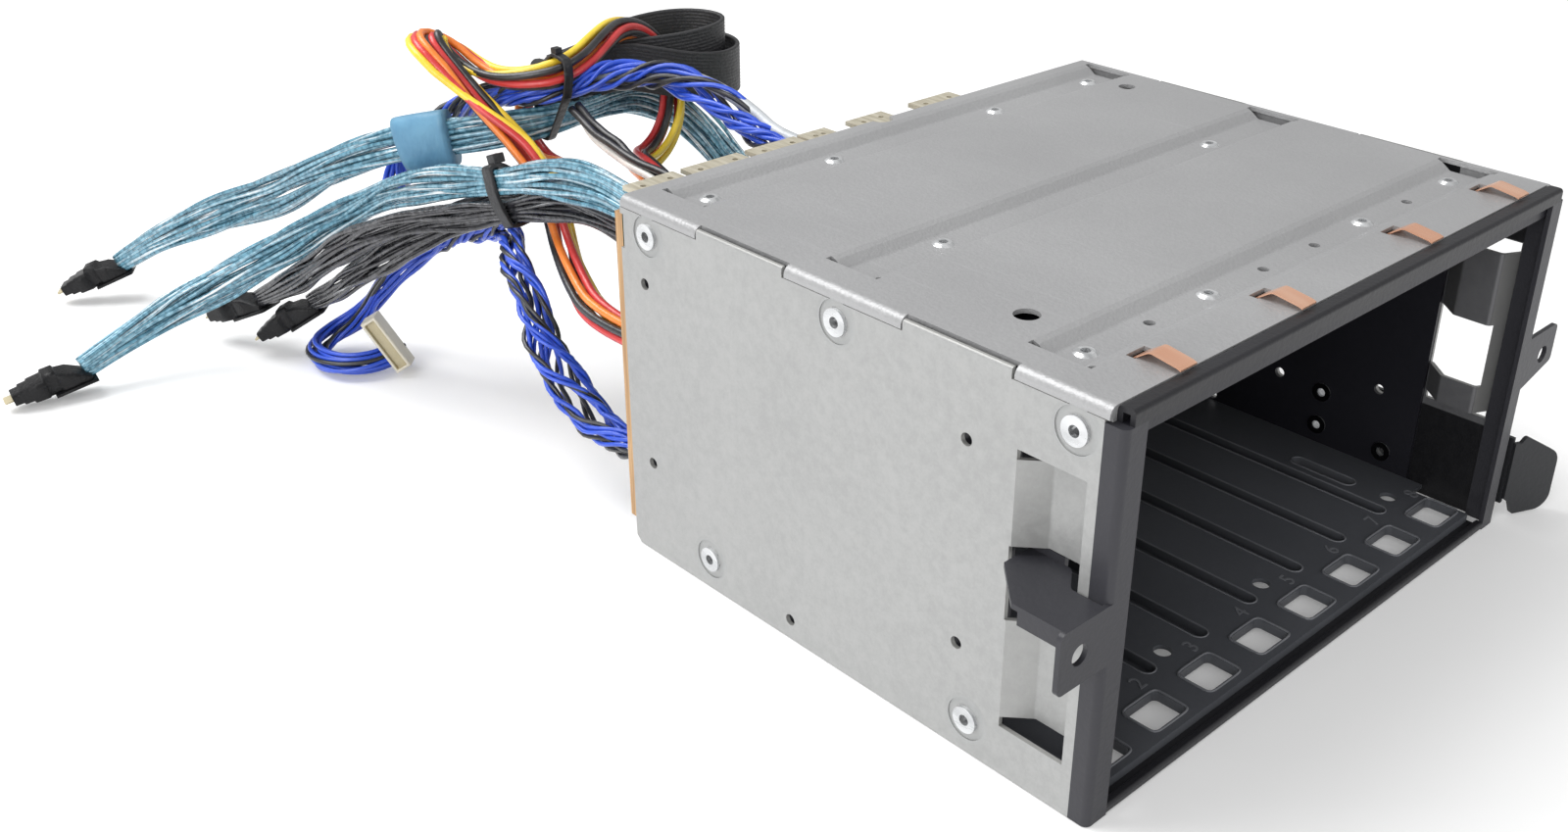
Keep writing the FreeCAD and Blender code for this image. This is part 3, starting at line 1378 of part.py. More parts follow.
def make_data_plug(index, forward):
    """A moulded plug: sheared tail, latch bump, deeper skirt and a stepped open nose."""
    body = new_body(f"data_plug_{index}")
    half = S.data_plug_height / 2
    nose = S.data_plug_nose_height / 2
    tip = S.data_plug_length
    shoulder = tip - S.data_plug_nose
    skirt = S.data_plug_skirt_step - half
    bump = half + S.data_plug_bump_rise
    profile = new_sketch(body, "XZ_Plane", -S.data_plug_width / 2)
    draw_outline(profile, [
        (0, -half), (S.data_plug_skirt, -half), (S.data_plug_skirt, skirt), (shoulder, skirt),
        (shoulder, -nose), (tip, -nose), (tip, nose), (shoulder, nose), (shoulder, half),
        (S.data_plug_bump_end, half), (S.data_plug_bump_end, bump),
        (S.data_plug_bump_start, bump), (S.data_plug_bump_start, half),
        (S.data_plug_shear_reach, half), (0, S.data_plug_shear_height - half)])
    pad(body, profile, S.data_plug_width)
    mouth = new_sketch(body, "YZ_Plane", tip)
    reach = S.data_plug_width / 2 - S.data_plug_wall
    draw_box(mouth, -reach, reach, S.data_plug_wall - nose, nose - S.data_plug_wall)
    pocket(body, mouth, S.data_plug_mouth)
    side = S.data_plug_width / 2
    round_edges(body, S.data_plug_round, lambda edge: runs_along(edge, 0) and passes(
        edge, *[[(1, y), (2, z)] for y in (-side, side) for z in (half, -half)]))
    forward = Vector(*forward).normalize()
    place = route_end(f"data_cable_{index}", forward * S.data_plug_grip.value)
    body.Placement = seat(place, forward, Vector(0, 0, 1))
    card = doc.addObject("Part::Box", f"contact_card_{index}")
    bind(card, Length=S.data_plug_mouth + S.card_reach,
         Width=(reach - S.card_margin) * 2, Height=S.card_gauge)
    corner = Vector((tip - S.data_plug_mouth).value, (S.card_margin - reach).value,
                    (-S.card_gauge / 2).value)
    card.Placement = body.Placement.multiply(Placement(corner, Rotation()))
    return card


def make_signal_plug():
    """A flat wire-to-wire plug with a long open mouth and a bevelled key."""
    body = new_body("signal_plug")
    half = S.signal_plug_height / 2
    length = S.signal_plug_length
    face = new_sketch(body, "YZ_Plane", 0)
    draw_outline(face, [(0, -half), (length, -half), (length, half - S.signal_plug_bevel),
                        (length - S.signal_plug_bevel, half), (0, half)])
    pad(body, face, S.signal_plug_depth)
    mouth = new_sketch(body, "YZ_Plane", S.signal_plug_depth)
    wall = S.signal_plug_wall
    draw_box(mouth, wall, length - wall, wall - half, half - wall)
    pocket(body, mouth, S.signal_plug_mouth)
    body.Placement = Placement(
        route_end("signal_harness_low", Vector(0, S.signal_plug_offset.value, 0)), Rotation())


def make_tie(name, span, radius, middle, forward, up):
    """A cable tie: a band round the bundle, with its locking head at the top."""
    body = new_body(name)
    ends = span / 2
    outer = radius + S.tie_gauge
    band = new_sketch(body, "XY_Plane", -S.tie_width / 2)
    draw_slot(band, 0, -ends, ends, outer)
    pad(body, band, S.tie_width)
    top = ends + radius
    lock = new_sketch(body, "XY_Plane", -S.tie_head / 2)
    draw_box(lock, -S.tie_head / 2, S.tie_head / 2, top, top + S.tie_head)
    pad(body, lock, S.tie_head)
    bundle = new_sketch(body, "XY_Plane", S.tie_head / 2)
    draw_slot(bundle, 0, -ends, ends, radius)
    pocket(body, bundle, S.tie_head)
    body.Placement = Placement(middle, Rotation(Vector(), up, forward, "ZYX"))


def make_ribbon_wrap():
    """The block of tape that holds the four ends of the two ribbon loops."""
    starts = [route_points(name)[end] for name in RIBBONS for end in (0, -1)]
    half = S.ribbon_width.value / 2 + S.wrap_margin.value
    side = S.ribbon_gauge.value / 2 + S.wrap_margin.value
    front = min(point.y for point in starts) - side
    back = max(point.y for point in starts) + side
    level = starts[0].z
    block = make_box("wrap_block", starts[0].x - S.wrap_length, front, level - half,
                     S.wrap_length, back - front, half * 2)
    group("ribbon_wrap", [block])


RIBBONS = ("ribbon_cable_1", "ribbon_cable_2")
for cord_name, cord_size in CORD_SIZES.items():
    make_cord(cord_name, cord_size.value)
for ribbon_name in RIBBONS:
    make_ribbon(ribbon_name, S.ribbon_width.value, S.ribbon_gauge.value)
make_ribbon_wrap()
group("data_headers", [
    make_header("header_left", [(f"data_cable_{k}", 0) for k in (2, 3, 4)]),
    make_header("header_right", [("data_cable_1", 0)])])
group("power_headers", [
    make_header("header_supply", [("power_cable", 0)]),
    make_header("header_return", [("power_cable", -1), ("power_branch", -1),
                                  ("return_lead", -1)])])
group("signal_headers", [
    make_header("header_low", [("signal_harness_low", 0)]),
    make_header("header_top", [("signal_harness_top", 0)])])
group("plug_cards", [
    make_data_plug(1, (-16.3, 10.3, -8)), make_data_plug(2, (-18.2, 3.3, -4)),
    make_data_plug(3, (-11.8, 24.3, -12)), make_data_plug(4, (-13.6, 13.1, -12.2))])
make_signal_plug()
make_tie("cable_tie_1", S.tie_1_span, S.tie_1_radius, Vector(-62.7, 119.75, 65.8),
         Vector(0, 0.95, -0.32), Vector(0, 0.32, 0.95))
make_tie("cable_tie_2", S.tie_2_span, S.tie_2_radius, Vector(-37, 135.95, 78.8),
         Vector(1, 0, 0), Vector(0, -0.405, 0.914))


# ---- export ------------------------------------------------------------------------------

doc.recompute()
failed = [item.Name for item in doc.Objects
          if "Invalid" in item.State or "Error" in item.State]
if failed:
    raise RuntimeError(f"objects failed to build: {failed}")

inner_objects = set()
for item in doc.Objects:
    if item.TypeId in ("Part::Compound", "Part::Cut", "Part::MultiFuse"):
        inner_objects.update(child.Name for child in item.OutList)
nodes = [item for item in doc.Objects
         if item.TypeId in ("PartDesign::Body", "Part::Compound", "Part::Feature")
         and item.Name not in inner_objects]

os.makedirs("parts", exist_ok=True)
for node in nodes:
    if node.Shape.isNull() or not node.Shape.isValid():
        raise RuntimeError(f"{node.Label} has no valid shape")
    node.Shape.exportStep(f"parts/{node.Label}.step")
print(f"{len(nodes)} nodes written")
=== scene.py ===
import math

import bpy
import numpy as np
from mathutils import Matrix, Vector


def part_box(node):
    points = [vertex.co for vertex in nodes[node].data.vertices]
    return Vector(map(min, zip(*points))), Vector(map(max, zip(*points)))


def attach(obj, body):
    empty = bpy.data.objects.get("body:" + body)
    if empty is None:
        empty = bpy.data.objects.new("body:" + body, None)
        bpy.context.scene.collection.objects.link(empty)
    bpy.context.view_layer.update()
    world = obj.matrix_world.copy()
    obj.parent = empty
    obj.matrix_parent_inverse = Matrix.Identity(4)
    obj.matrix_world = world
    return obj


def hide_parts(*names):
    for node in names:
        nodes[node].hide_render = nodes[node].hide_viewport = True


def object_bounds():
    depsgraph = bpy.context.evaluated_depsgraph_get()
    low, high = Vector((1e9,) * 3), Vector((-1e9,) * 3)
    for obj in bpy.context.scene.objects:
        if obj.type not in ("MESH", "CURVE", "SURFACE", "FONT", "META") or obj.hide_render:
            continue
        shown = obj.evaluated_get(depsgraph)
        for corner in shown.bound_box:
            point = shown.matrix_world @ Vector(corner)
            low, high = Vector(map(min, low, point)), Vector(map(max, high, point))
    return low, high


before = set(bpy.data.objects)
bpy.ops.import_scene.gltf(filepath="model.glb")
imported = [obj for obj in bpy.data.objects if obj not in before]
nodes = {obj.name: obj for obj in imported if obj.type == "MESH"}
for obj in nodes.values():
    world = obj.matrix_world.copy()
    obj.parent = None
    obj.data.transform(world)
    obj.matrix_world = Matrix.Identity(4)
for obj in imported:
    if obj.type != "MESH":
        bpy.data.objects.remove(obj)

cad_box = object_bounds()


# ---- galvanised side plates -------------------------------------------------
# Pressed from zinc coated steel sheet and riveted to the frame. The zinc
# crystals leave a faint mottle, and each rivet sits in a lightly stamped ring.

class Level:
    """A number that varies over a surface; arithmetic on it adds Math nodes."""

    def __init__(self, finish, socket):
        self.finish = finish
        self.socket = socket

    def worked(self, operation, *values):
        return self.finish.node("ShaderNodeMath", {"operation": operation}, *values)

    def __add__(self, other):
        return self.worked("ADD", self, other)

    def __mul__(self, other):
        return self.worked("MULTIPLY", self, other)

    def __sub__(self, other):
        return self.worked("SUBTRACT", self, other)

    def __rsub__(self, other):
        return self.worked("SUBTRACT", other, self)

    def least(self, other):
        return self.worked("MINIMUM", self, other)

    def size(self):
        return self.worked("ABSOLUTE", self)

    def step(self, low, high):
        """0 where the number is under low, 1 where it is over high, smooth between."""
        return self.finish.node("ShaderNodeMapRange", {"interpolation_type": "SMOOTHSTEP"},
                                self, low, high, 0.0, 1.0)

    __radd__ = __add__
    __rmul__ = __mul__


class Finish:
    """A material made of nodes, whose constants are set on its shader's own sockets."""

    def __init__(self, name, relief=0.0, **constants):
        self.material = bpy.data.materials.new(name)
        self.material.use_nodes = True
        self.tree = self.material.node_tree
        self.shader = self.tree.nodes["Principled BSDF"]
        self.relief = relief
        for key, value in constants.items():
            socket = key.replace("_", " ").title().replace("Ior", "IOR")
            self.shader.inputs[socket].default_value = value

    def node(self, kind, settings, *values, output=0):
        """Adds one node: its settings first, then the values or links of its sockets."""
        item = self.tree.nodes.new(kind)
        for key, value in settings.items():
            setattr(item, key, value)
        for socket, value in zip(item.inputs, values):
            if isinstance(value, Level):
                self.tree.links.new(value.socket, socket)
            elif value is not None:
                socket.default_value = value
        return Level(self, item.outputs[output])

    def place(self):
        """Where a point of the piece is, in metres."""
        return self.node("ShaderNodeTexCoord", {}, output=3)

    def noise(self, scale, detail=3.0, place=None):
        """Noise of one scale, or of a scale for each axis, where a small one draws it out."""
        place = place or self.place()
        if isinstance(scale, tuple):
            place = self.node("ShaderNodeVectorMath", {"operation": "MULTIPLY"}, place, scale)
            scale = 1.0
        return self.node("ShaderNodeTexNoise", {}, place, None, scale, detail)

    def away(self, *point):
        """How far a point of the piece is from the given one."""
        return self.node("ShaderNodeVectorMath", {"operation": "DISTANCE"}, self.place(), point,
                         output=1)

    def along(self, axis):
        """One coordinate of a point of the piece."""
        return self.node("ShaderNodeSeparateXYZ", {}, self.place(), output=axis)

    def facing(self, axis):
        """How much the surface faces along an axis, from -1 to 1."""
        normal = self.node("ShaderNodeNewGeometry", {}, output=1)
        return self.node("ShaderNodeSeparateXYZ", {}, normal, output=axis)

    def mixed(self, share, first, second):
        """The first colour, and by share the second."""
        item = self.tree.nodes.new("ShaderNodeMix")
        item.data_type = "RGBA"
        for index, value in ((0, share), (6, first), (7, second)):
            if isinstance(value, Level):
                self.tree.links.new(value.socket, item.inputs[index])
            else:
                item.inputs[index].default_value = (*value, 1.0)
        return Level(self, item.outputs[2])

    def lay(self, colour, height, roughness=None):
        """Links the colour, the roughness and a bump of that height to the shader."""
        bump_reach = 0.001
        bump = self.node("ShaderNodeBump", {}, self.relief, bump_reach)
        self.tree.links.new(height.socket, bump.socket.node.inputs["Height"])
        for name, level in (("Base Color", colour), ("Roughness", roughness), ("Normal", bump)):
            if level is not None:
                self.tree.links.new(level.socket, self.shader.inputs[name])
        return self.material


def coat(names, material):
    """Gives CAD nodes a material."""
    for name in names:
        mesh = nodes[name].data
        mesh.materials.clear()
        mesh.materials.append(material)


side_reach = 0.074
rivet_places = ((0.0747, -0.05375), (0.0747, 0.00045), (0.0747, 0.05465),
                (0.0072, -0.03465), (0.0072, 0.03745))
ring_radius = 0.0041
strip_top = 0.0667


def galvanised(name, strip_foot):
    """Zinc outside. Inside, painted shade darkens the faces, and past the ends of the sunk strip
    they are black.

    The stamped ring round a rivet is where |distance from the rivet - ring_radius| is small, and a
    face is an inner one where it looks towards the cage's middle."""
    finish = Finish(name, relief=0.25, metallic=0.30)
    cloud = finish.noise(40.0, 6.0)
    fleck = finish.noise(520.0, 4.0)
    speck = finish.noise(1900.0, 2.0)
    mottle = (cloud * 0.25 + fleck * 0.5 + speck * 0.25).step(0.32, 0.68)
    zinc = finish.mixed(mottle, (0.33, 0.333, 0.33), (0.395, 0.398, 0.394))
    stain = finish.noise(110.0, 5.0).step(0.62, 0.72) * 0.18
    zinc = finish.mixed(stain, zinc, (0.43, 0.43, 0.42))
    edges = finish.facing(0).size().step(0.5, 0.9)
    colour = finish.mixed(edges, (0.34, 0.34, 0.33), zinc)
    ring = None
    for height, depth in rivet_places:
        gap = (finish.away(-side_reach, depth, height) - ring_radius).size()
        ring = gap if ring is None else ring.least(gap)
    stamped = 1 - ring.step(0.0003, 0.0012)
    colour = finish.mixed(stamped * 0.45, colour, (0.36, 0.37, 0.37))
    inward = (finish.along(0) * finish.facing(0) * -14.0).step(0.3, 0.6)
    half = (strip_top - strip_foot) / 2
    past_strip = (finish.along(2) - (strip_foot + half)).size().step(half, half + 0.0004)
    # Painted shade: faces that look towards the cage's middle are mixed most of the way to a dark
    # grey.
    colour = finish.mixed(inward * 0.75, colour, (0.07, 0.07, 0.08))
    colour = finish.mixed(inward * past_strip, colour, (0.012, 0.012, 0.014))
    return finish.lay(colour=colour, roughness=0.36 + mottle * 0.16,
                      height=stamped * -0.6 + speck * 0.12)


coat(["left_side_plate"], galvanised("galvanised_left", strip_foot=0.0087))
coat(["right_side_plate"], galvanised("galvanised_right", strip_foot=0.0229))


# ---- top cover ---------------------------------------------------------------
# One folded sheet of darker pre-coated steel with pressed ribs and stamped
# holes. It has a fine even grain and faint rubs that run from front to back.

def coated_grey():
    finish = Finish("coated_grey_steel", relief=0.15, metallic=0.35)
    cloud = finish.noise(22.0, 3.0)
    grain = finish.noise(1400.0, 2.0)
    rubs = finish.noise((900.0, 30.0, 300.0), 4.0)
    even = (cloud * 0.7 + grain * 0.3).step(0.3, 0.75)
    colour = finish.mixed(even, (0.362, 0.363, 0.368), (0.408, 0.41, 0.414))
    colour = finish.mixed(rubs.step(0.60, 0.80) * 0.25, colour, (0.50, 0.50, 0.51))
    return finish.lay(colour=colour, roughness=0.40 + even * 0.12, height=grain)


coat(["top_cover"], coated_grey())


# ---- black frame: posts, rails, inner walls, bay ceiling and floor -----------
# Sheet steel stamped and bent, then coated black. The coat is satin with a fine
# orange peel. Its shade is painted part by part for the light each part gets: blackest,
# as painted shade, on the rails and the walls, and palest, as painted light, on the floor.

def black_coat(name, low, high):
    finish = Finish(name, relief=0.08, metallic=0.0, coat_weight=0.12, coat_roughness=0.16,
                    specular_ior_level=0.3)
    peel = finish.noise(900.0, 2.0)
    cloud = finish.noise(30.0, 3.0)
    return finish.lay(colour=finish.mixed(cloud, low, high), roughness=0.38 + cloud * 0.15,
                      height=peel)


# Painted light and shade: each part below gets its own shade of the one black coat, blackest on the
# rails and walls and palest on the floor.
coat(["left_post", "right_post"],
     black_coat("black_post_coat", (0.026, 0.026, 0.031), (0.040, 0.040, 0.047)))
coat(["top_rail", "bottom_rail"],
     black_coat("black_coat_shaded_rails", (0.012, 0.012, 0.014), (0.022, 0.022, 0.026)))
coat(["left_inner_wall", "right_inner_wall", "bay_ceiling"],
     black_coat("black_coat_shaded_walls", (0.010, 0.010, 0.014), (0.020, 0.020, 0.026)))
coat(["bay_floor"],
     black_coat("black_coat_lit_floor", (0.070, 0.074, 0.084), (0.110, 0.115, 0.128)))
coat(["latch_lever", "latch_foot"],
     black_coat("black_latch_coat", (0.016, 0.017, 0.019), (0.028, 0.029, 0.032)))


# ---- rolled edges and bay numbers on the floor ---------------------------------
# The floor's windows and guide grooves have edges rolled by the press, where the
# coat is thin. Their pale grey is a painted highlight along those edges, and the small
# number from 1 to 8 pressed at each bay is painted in the same pale grey.

def made_piece(name, points, faces, materials, smooth=False, bevel=0.0):
    """A mesh piece on the cage; a bevel of two steps rounds its edges by that width."""
    mesh = bpy.data.meshes.new(name)
    mesh.from_pydata(np.concatenate(points).tolist(), [], faces)
    mesh.polygons.foreach_set("use_smooth", [smooth] * len(faces))
    for material in materials:
        mesh.materials.append(material)
    piece = bpy.data.objects.new(name, mesh)
    bpy.context.scene.collection.objects.link(piece)
    if bevel:
        edge = piece.modifiers.new("rounded_edges", "BEVEL")
        edge.width = bevel
        edge.segments = 2
        edge.limit_method = "ANGLE"
    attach(piece, "cage")
    return piece


def lofted(name, lofts, materials, turned=False, **looks):
    """One mesh of lofts, each (rings, closed) with rings an array of n by m points.

    Each ring is joined to the next by quads. The last ring is joined to the first where the loft
    is closed, and otherwise both end rings are filled.
    turned makes the faces look the other way."""
    points, faces, first = [], [], 0
    for rings, closed in lofts:
        n, m = rings.shape[:2]
        ring = np.arange(n if closed else n - 1)[:, None] * m
        after = (ring + m) % (n * m)
        corner = np.arange(m)
        beside = (corner + 1) % m
        quads = np.stack([ring + corner, ring + beside, after + beside, after + corner], axis=-1)
        joined = quads.reshape(-1, 4)
        if turned:
            joined = joined[:, [0, 3, 2, 1]]
        faces += (first + joined).tolist()
        if not closed:
            fills = [list(range(first + m - 1, first - 1, -1)),
                     list(range(first + (n - 1) * m, first + n * m))]
            faces += [fill[::-1] for fill in fills] if turned else fills
        points.append(rings.reshape(-1, 3))
        first += n * m
    return made_piece(name, points, faces, materials, **looks)


def squared_circle(corners, power=1.0, shift=0.0):
    """Cosine and sine at even angles, raised to the power with their signs kept."""
    angle = (np.arange(corners) + shift) * 2 * math.pi / corners
    c, s = np.cos(angle), np.sin(angle)
    return np.sign(c) * np.abs(c) ** power, np.sign(s) * np.abs(s) ** power


def unit(vectors):
    """The vector, or each of the vectors, made one long."""
    return vectors / np.linalg.norm(vectors, axis=-1, keepdims=True)


def rolled_loops(name, loops, thickness, material):
    """Round beads along closed loops: point + thickness * (cos a * outwards + sin a * up)."""
    lofts = []
    c, s = squared_circle(8)
    for loop in loops:
        out = np.cross(unit(np.roll(loop, -1, axis=0) - np.roll(loop, 1, axis=0)), (0, 0, 1))
        rings = (loop[:, None] + thickness * c[None, :, None] * out[:, None]
                 + thickness * s[None, :, None] * np.array((0, 0, 1.0)))
        lofts.append((rings, True))
    edges = lofted(name, lofts, [material], turned=True, smooth=True)


def squared_loop(x, y, z, half_x, half_y, power):
    """A squared oval: half sizes times cosine and sine raised to the power, signs kept."""
    corners = 48
    c, s = squared_circle(corners, power)
    return np.column_stack([x + half_x * c, y + half_y * s, np.full(corners, z)])


def groove_loop(x, low, high):
    """A half circle round each end of a groove, joined by its straight edges."""
    angle = np.arange(13) * math.pi / 12
    half = groove_radius * np.column_stack([np.cos(angle), np.sin(angle)])
    outline = np.concatenate([(x, low) - half, (x, high) + half])
    return np.column_stack([outline, np.full(len(outline), floor_top)])


floor_top = 0.0030
bay_pitch = 0.01735
bay_middles = 0.0022 + bay_pitch * (np.arange(1, 9) - 4.5)
groove_radius = 0.00195
# Painted highlight: a pale grey for the rolled rims and the raised numbers, where the light catches
# them.
rolled_edge_highlight = black_coat("rolled_edge_highlight", (0.12, 0.125, 0.14), (0.22, 0.225, 0.24))
window_middle = -0.0539
number_line = -0.0482
window_rims = [squared_loop(x - 0.0009, window_middle, floor_top + 0.00005, half_x=0.0054,
                            half_y=0.00415, power=0.28) for x in bay_middles]
groove_rims = [groove_loop(x + bay_pitch / 2, low=-0.04465, high=0.0540)
               for x in bay_middles[:-1]]
short_groove_rim = groove_loop(0.0605, low=-0.03325, high=-0.02035)
rolled_loops("window_edges", window_rims, thickness=0.00026, material=rolled_edge_highlight)
rolled_loops("groove_edges", groove_rims + [short_groove_rim], thickness=0.0002,
             material=rolled_edge_highlight)


def pressed_numbers(name, places, size, height, material):
    """Plain numerals from 1 up as raised text, made a mesh before they are put in place."""
    points, faces, first = [], [], 0
    for number, place in enumerate(places, 1):
        text = bpy.data.curves.new("numeral", "FONT")
        text.body = str(number)
        text.size = size
        text.extrude = height
        text.align_x = "CENTER"
        holder = bpy.data.objects.new("numeral", text)
        mesh = bpy.data.meshes.new_from_object(holder)
        flat = np.empty(len(mesh.vertices) * 3)
        mesh.vertices.foreach_get("co", flat)
        points.append(flat.reshape(-1, 3) + place)
        faces += [[first + v for v in face.vertices] for face in mesh.polygons]
        first += len(mesh.vertices)
        bpy.data.objects.remove(holder)
        bpy.data.curves.remove(text)
        bpy.data.meshes.remove(mesh)
    numbers = made_piece(name, points, faces, [material])


pressed_numbers("bay_numbers", [(x + 0.0034, number_line, floor_top) for x in bay_middles],
                size=0.0050, height=0.00012, material=rolled_edge_highlight)


# ---- contact fingers, rivets and clinch buttons ------------------------------
# The fingers are copper strip springs clipped over the front edge. Rivets are
# zinc plated steel with a sunk middle; the clinch buttons are turned brighter.

def metal(name, low, high, roughness, metallic, scale=300.0, tails=None):
    """Drawn metal between two colours. Closer than tails to the cage's middle it is painted black
    as shade.
    """
    finish = Finish(name, relief=0.2, metallic=metallic)
    streak = finish.noise((scale * 3, scale * 0.3, scale), 3.0)
    colour = finish.mixed(streak.step(0.3, 0.7), low, high)
    # Painted shade: the rivet tails inside the cage are painted near black.
    if tails:
        outer = finish.along(0).size().step(tails, tails + 0.0004)
        colour = finish.mixed(outer, (0.01, 0.01, 0.011), colour)
    return finish.lay(colour=colour, roughness=roughness + streak * 0.15, height=streak)


coat([f"contact_finger_{k}" for k in (1, 2, 3, 4)] + ["finger_clips"],
     metal("copper_strip", (0.86, 0.45, 0.29), (0.95, 0.58, 0.41), roughness=0.16, metallic=0.7,
           scale=90.0))
coat(["top_clinches", "board_screws"],
     metal("zinc_plate", (0.56, 0.57, 0.58), (0.80, 0.81, 0.82), roughness=0.2, metallic=0.7))
coat(["left_rivets", "right_rivets", "latch_rivets"],
     metal("zinc_rivet", (0.50, 0.51, 0.52), (0.72, 0.73, 0.74), roughness=0.2, metallic=0.7,
           tails=0.0718))


# ---- backplane: board, carrier sheet and drive sockets -----------------------
# Glass fibre board, tan at its sawn edge and green on its faces, screwed to a
# passivated sheet. Eight black moulded sockets stand on the side of the bays.

def board_finish():
    finish = Finish("circuit_board", relief=0.2, roughness=0.4)
    layers = finish.noise((60.0, 2600.0, 60.0), 2.0)
    tan = finish.mixed(layers.step(0.35, 0.65), (0.36, 0.20, 0.085), (0.52, 0.32, 0.15))
    tracks = finish.noise((900.0, 1.0, 120.0), 0.0).step(0.5, 0.56)
    green = finish.mixed(tracks, (0.012, 0.06, 0.03), (0.02, 0.10, 0.05))
    face = finish.facing(1).size().step(0.4, 0.6)
    return finish.lay(colour=finish.mixed(face, tan, green), height=layers)


coat(["backplane_board"], board_finish())
coat(["board_carrier"],
     metal("passivated_steel", (0.44, 0.40, 0.30), (0.60, 0.56, 0.45), roughness=0.35,
           metallic=0.35))


def moulded(name, dark, light, roughness, scale=700.0, shine=0.5):
    """Moulded plastic: two close colours in slow clouds, and a fine skin of that scale."""
    finish = Finish(name, relief=0.3, specular_ior_level=shine)
    skin = finish.noise(scale, 3.0)
    cloud = finish.noise(60.0, 2.0)
    return finish.lay(colour=finish.mixed(cloud, dark, light), roughness=roughness + skin * 0.2,
                      height=skin)


coat([f"drive_connector_{k}" for k in range(1, 9)],
     moulded("socket_plastic", (0.012, 0.012, 0.014), (0.03, 0.03, 0.033), 0.35))


# ---- headers on the back of the board --------------------------------------------
# Low moulded sockets, open at the back, into which the cords are plugged. Each has
# a base flange, a narrower body and a mouth, all drafted a little for the mould.

board_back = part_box("backplane_board")[1].y


def drawn_in(middle, across, up, out, half_across, half_up, steps):
    """Rings of four corners: a step (inset, depth) is the rectangle drawn in, then moved out."""
    inset, depth = np.array(steps).T[..., None]
    a = np.array((-1, 1, 1, -1)) * (half_across - inset)
    b = np.array((-1, -1, 1, 1)) * (half_up - inset)
    return middle + a[..., None] * across + b[..., None] * up + depth[..., None] * out


def stepped_socket(name, seats, node, material):
    """Rectangles lofted backwards from the board; a seat is (left, right, low, high)."""
    steps = ((0.0, 0.0), (0.0, 0.0009), (0.0007, 0.0010), (0.0009, 0.0030),
             (0.0015, 0.0030), (0.0017, 0.0016))
    right_way, back_way, up_way = np.eye(3)
    lofts = []
    for left, right, low, high in seats:
        middle = np.array(((left + right) / 2, board_back, (low + high) / 2))
        lofts.append((drawn_in(middle, right_way, up_way, back_way, (right - left) / 2,
                               (high - low) / 2, steps), False))
    socket = lofted(name, lofts, [material], turned=True, bevel=0.0002)
    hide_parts(node)


header_black = moulded("header_black", (0.02, 0.02, 0.022), (0.04, 0.04, 0.044), 0.4)
cream = moulded("header_cream", (0.62, 0.58, 0.48), (0.74, 0.70, 0.60), 0.35)
stepped_socket("data_sockets",
               [(-0.0700, -0.0493, 0.0588, 0.0770), (0.0008, 0.0112, 0.0373, 0.0477)],
               "data_headers", header_black)
stepped_socket("power_sockets",
               [(-0.0719, -0.0641, 0.0420, 0.0500), (-0.0477, -0.0280, 0.0510, 0.0680)],
               "power_headers", header_black)
stepped_socket("signal_sockets",
               [(-0.0724, -0.0636, 0.0131, 0.0219), (-0.0210, -0.0110, 0.0670, 0.0769)],
               "signal_headers", cream)


# ---- data cables --------------------------------------------------------------
# Four bundles of thin shielded strips. Two have clear blue jackets over foil, and
# two have black ones. Pale streaks along all four are painted highlights, which on the
# blue ones stand for the foil too. A tape sleeve holds the first.

def travelled(line):
    """How far along the line each of its points is."""
    return np.r_[0, np.cumsum(np.linalg.norm(np.diff(line, axis=0), axis=1))]


def route_line(points, step=0.0016):
    """The smooth line of a NURBS spline that has the points as its control points.

    The line is read from the spline, and its points are spaced evenly along it."""
    curve = bpy.data.curves.new("route", "CURVE")
    curve.dimensions = "3D"
    spline = curve.splines.new("NURBS")
    spline.points.add(len(points) - 1)
    spline.points.foreach_set("co", np.c_[points, np.ones(len(points))].ravel())
    spline.order_u = 3
    spline.use_endpoint_u = True
    holder = bpy.data.objects.new("route", curve)
    mesh = bpy.data.meshes.new_from_object(holder)
    line = np.empty(len(mesh.vertices) * 3)
    mesh.vertices.foreach_get("co", line)
    line = line.reshape(-1, 3)
    bpy.data.objects.remove(holder)
    bpy.data.curves.remove(curve)
    bpy.data.meshes.remove(mesh)
    run = travelled(line)
    even = np.linspace(0, run[-1], int(run[-1] / step))
    return np.column_stack([np.interp(even, run, line[:, k]) for k in range(3)])


class Lane:
    """A cord's line with two axes across it: side is level, rise is square to both."""

    def __init__(self, points, reference=(0, 0, 1)):
        self.line = route_line(points)
        ahead = unit(np.gradient(self.line, axis=0))
        self.side = unit(np.cross(ahead, reference))
        self.rise = np.cross(self.side, ahead)
        self.run = travelled(self.line)
        self.share = self.run / self.run[-1]

    def wire(self, section, across, up, turn=0.0):
        """A closed section carried along the line, off it by across and up, and turned.

        Each ring is line + side * (across + x) + rise * (up + y), x and y the turned section."""
        across, up, turn = (np.broadcast_to(value, self.run.shape)[:, None]
                            for value in (across, up, turn))
        x = section[:, 0] * np.cos(turn) - section[:, 1] * np.sin(turn)
        y = section[:, 0] * np.sin(turn) + section[:, 1] * np.cos(turn)
        return (self.line[:, None] + self.side[:, None] * (across + x)[..., None]
                + self.rise[:, None] * (up + y)[..., None])

    def free(self, first, last):
        """0 at the line's ends and 1 away from them; first and last say how soon it gets there."""
        return np.clip(np.minimum(self.share * first, (1 - self.share) * last), 0.0, 1.0)


def round_section(radius, corners=10):
    """A circle's points, counter-clockwise."""
    return radius * np.column_stack(squared_circle(corners))


def wave(share, seed, waves, size):
    """A slow smooth wander: three sines whose phases and rates come from the seed."""
    rng = np.random.default_rng(seed)
    total = np.zeros_like(share)
    for k in range(1, 4):
        turns = waves * k * share * rng.uniform(0.7, 1.2) + rng.uniform()
        total += np.sin(2 * math.pi * turns) / k
    return total * size


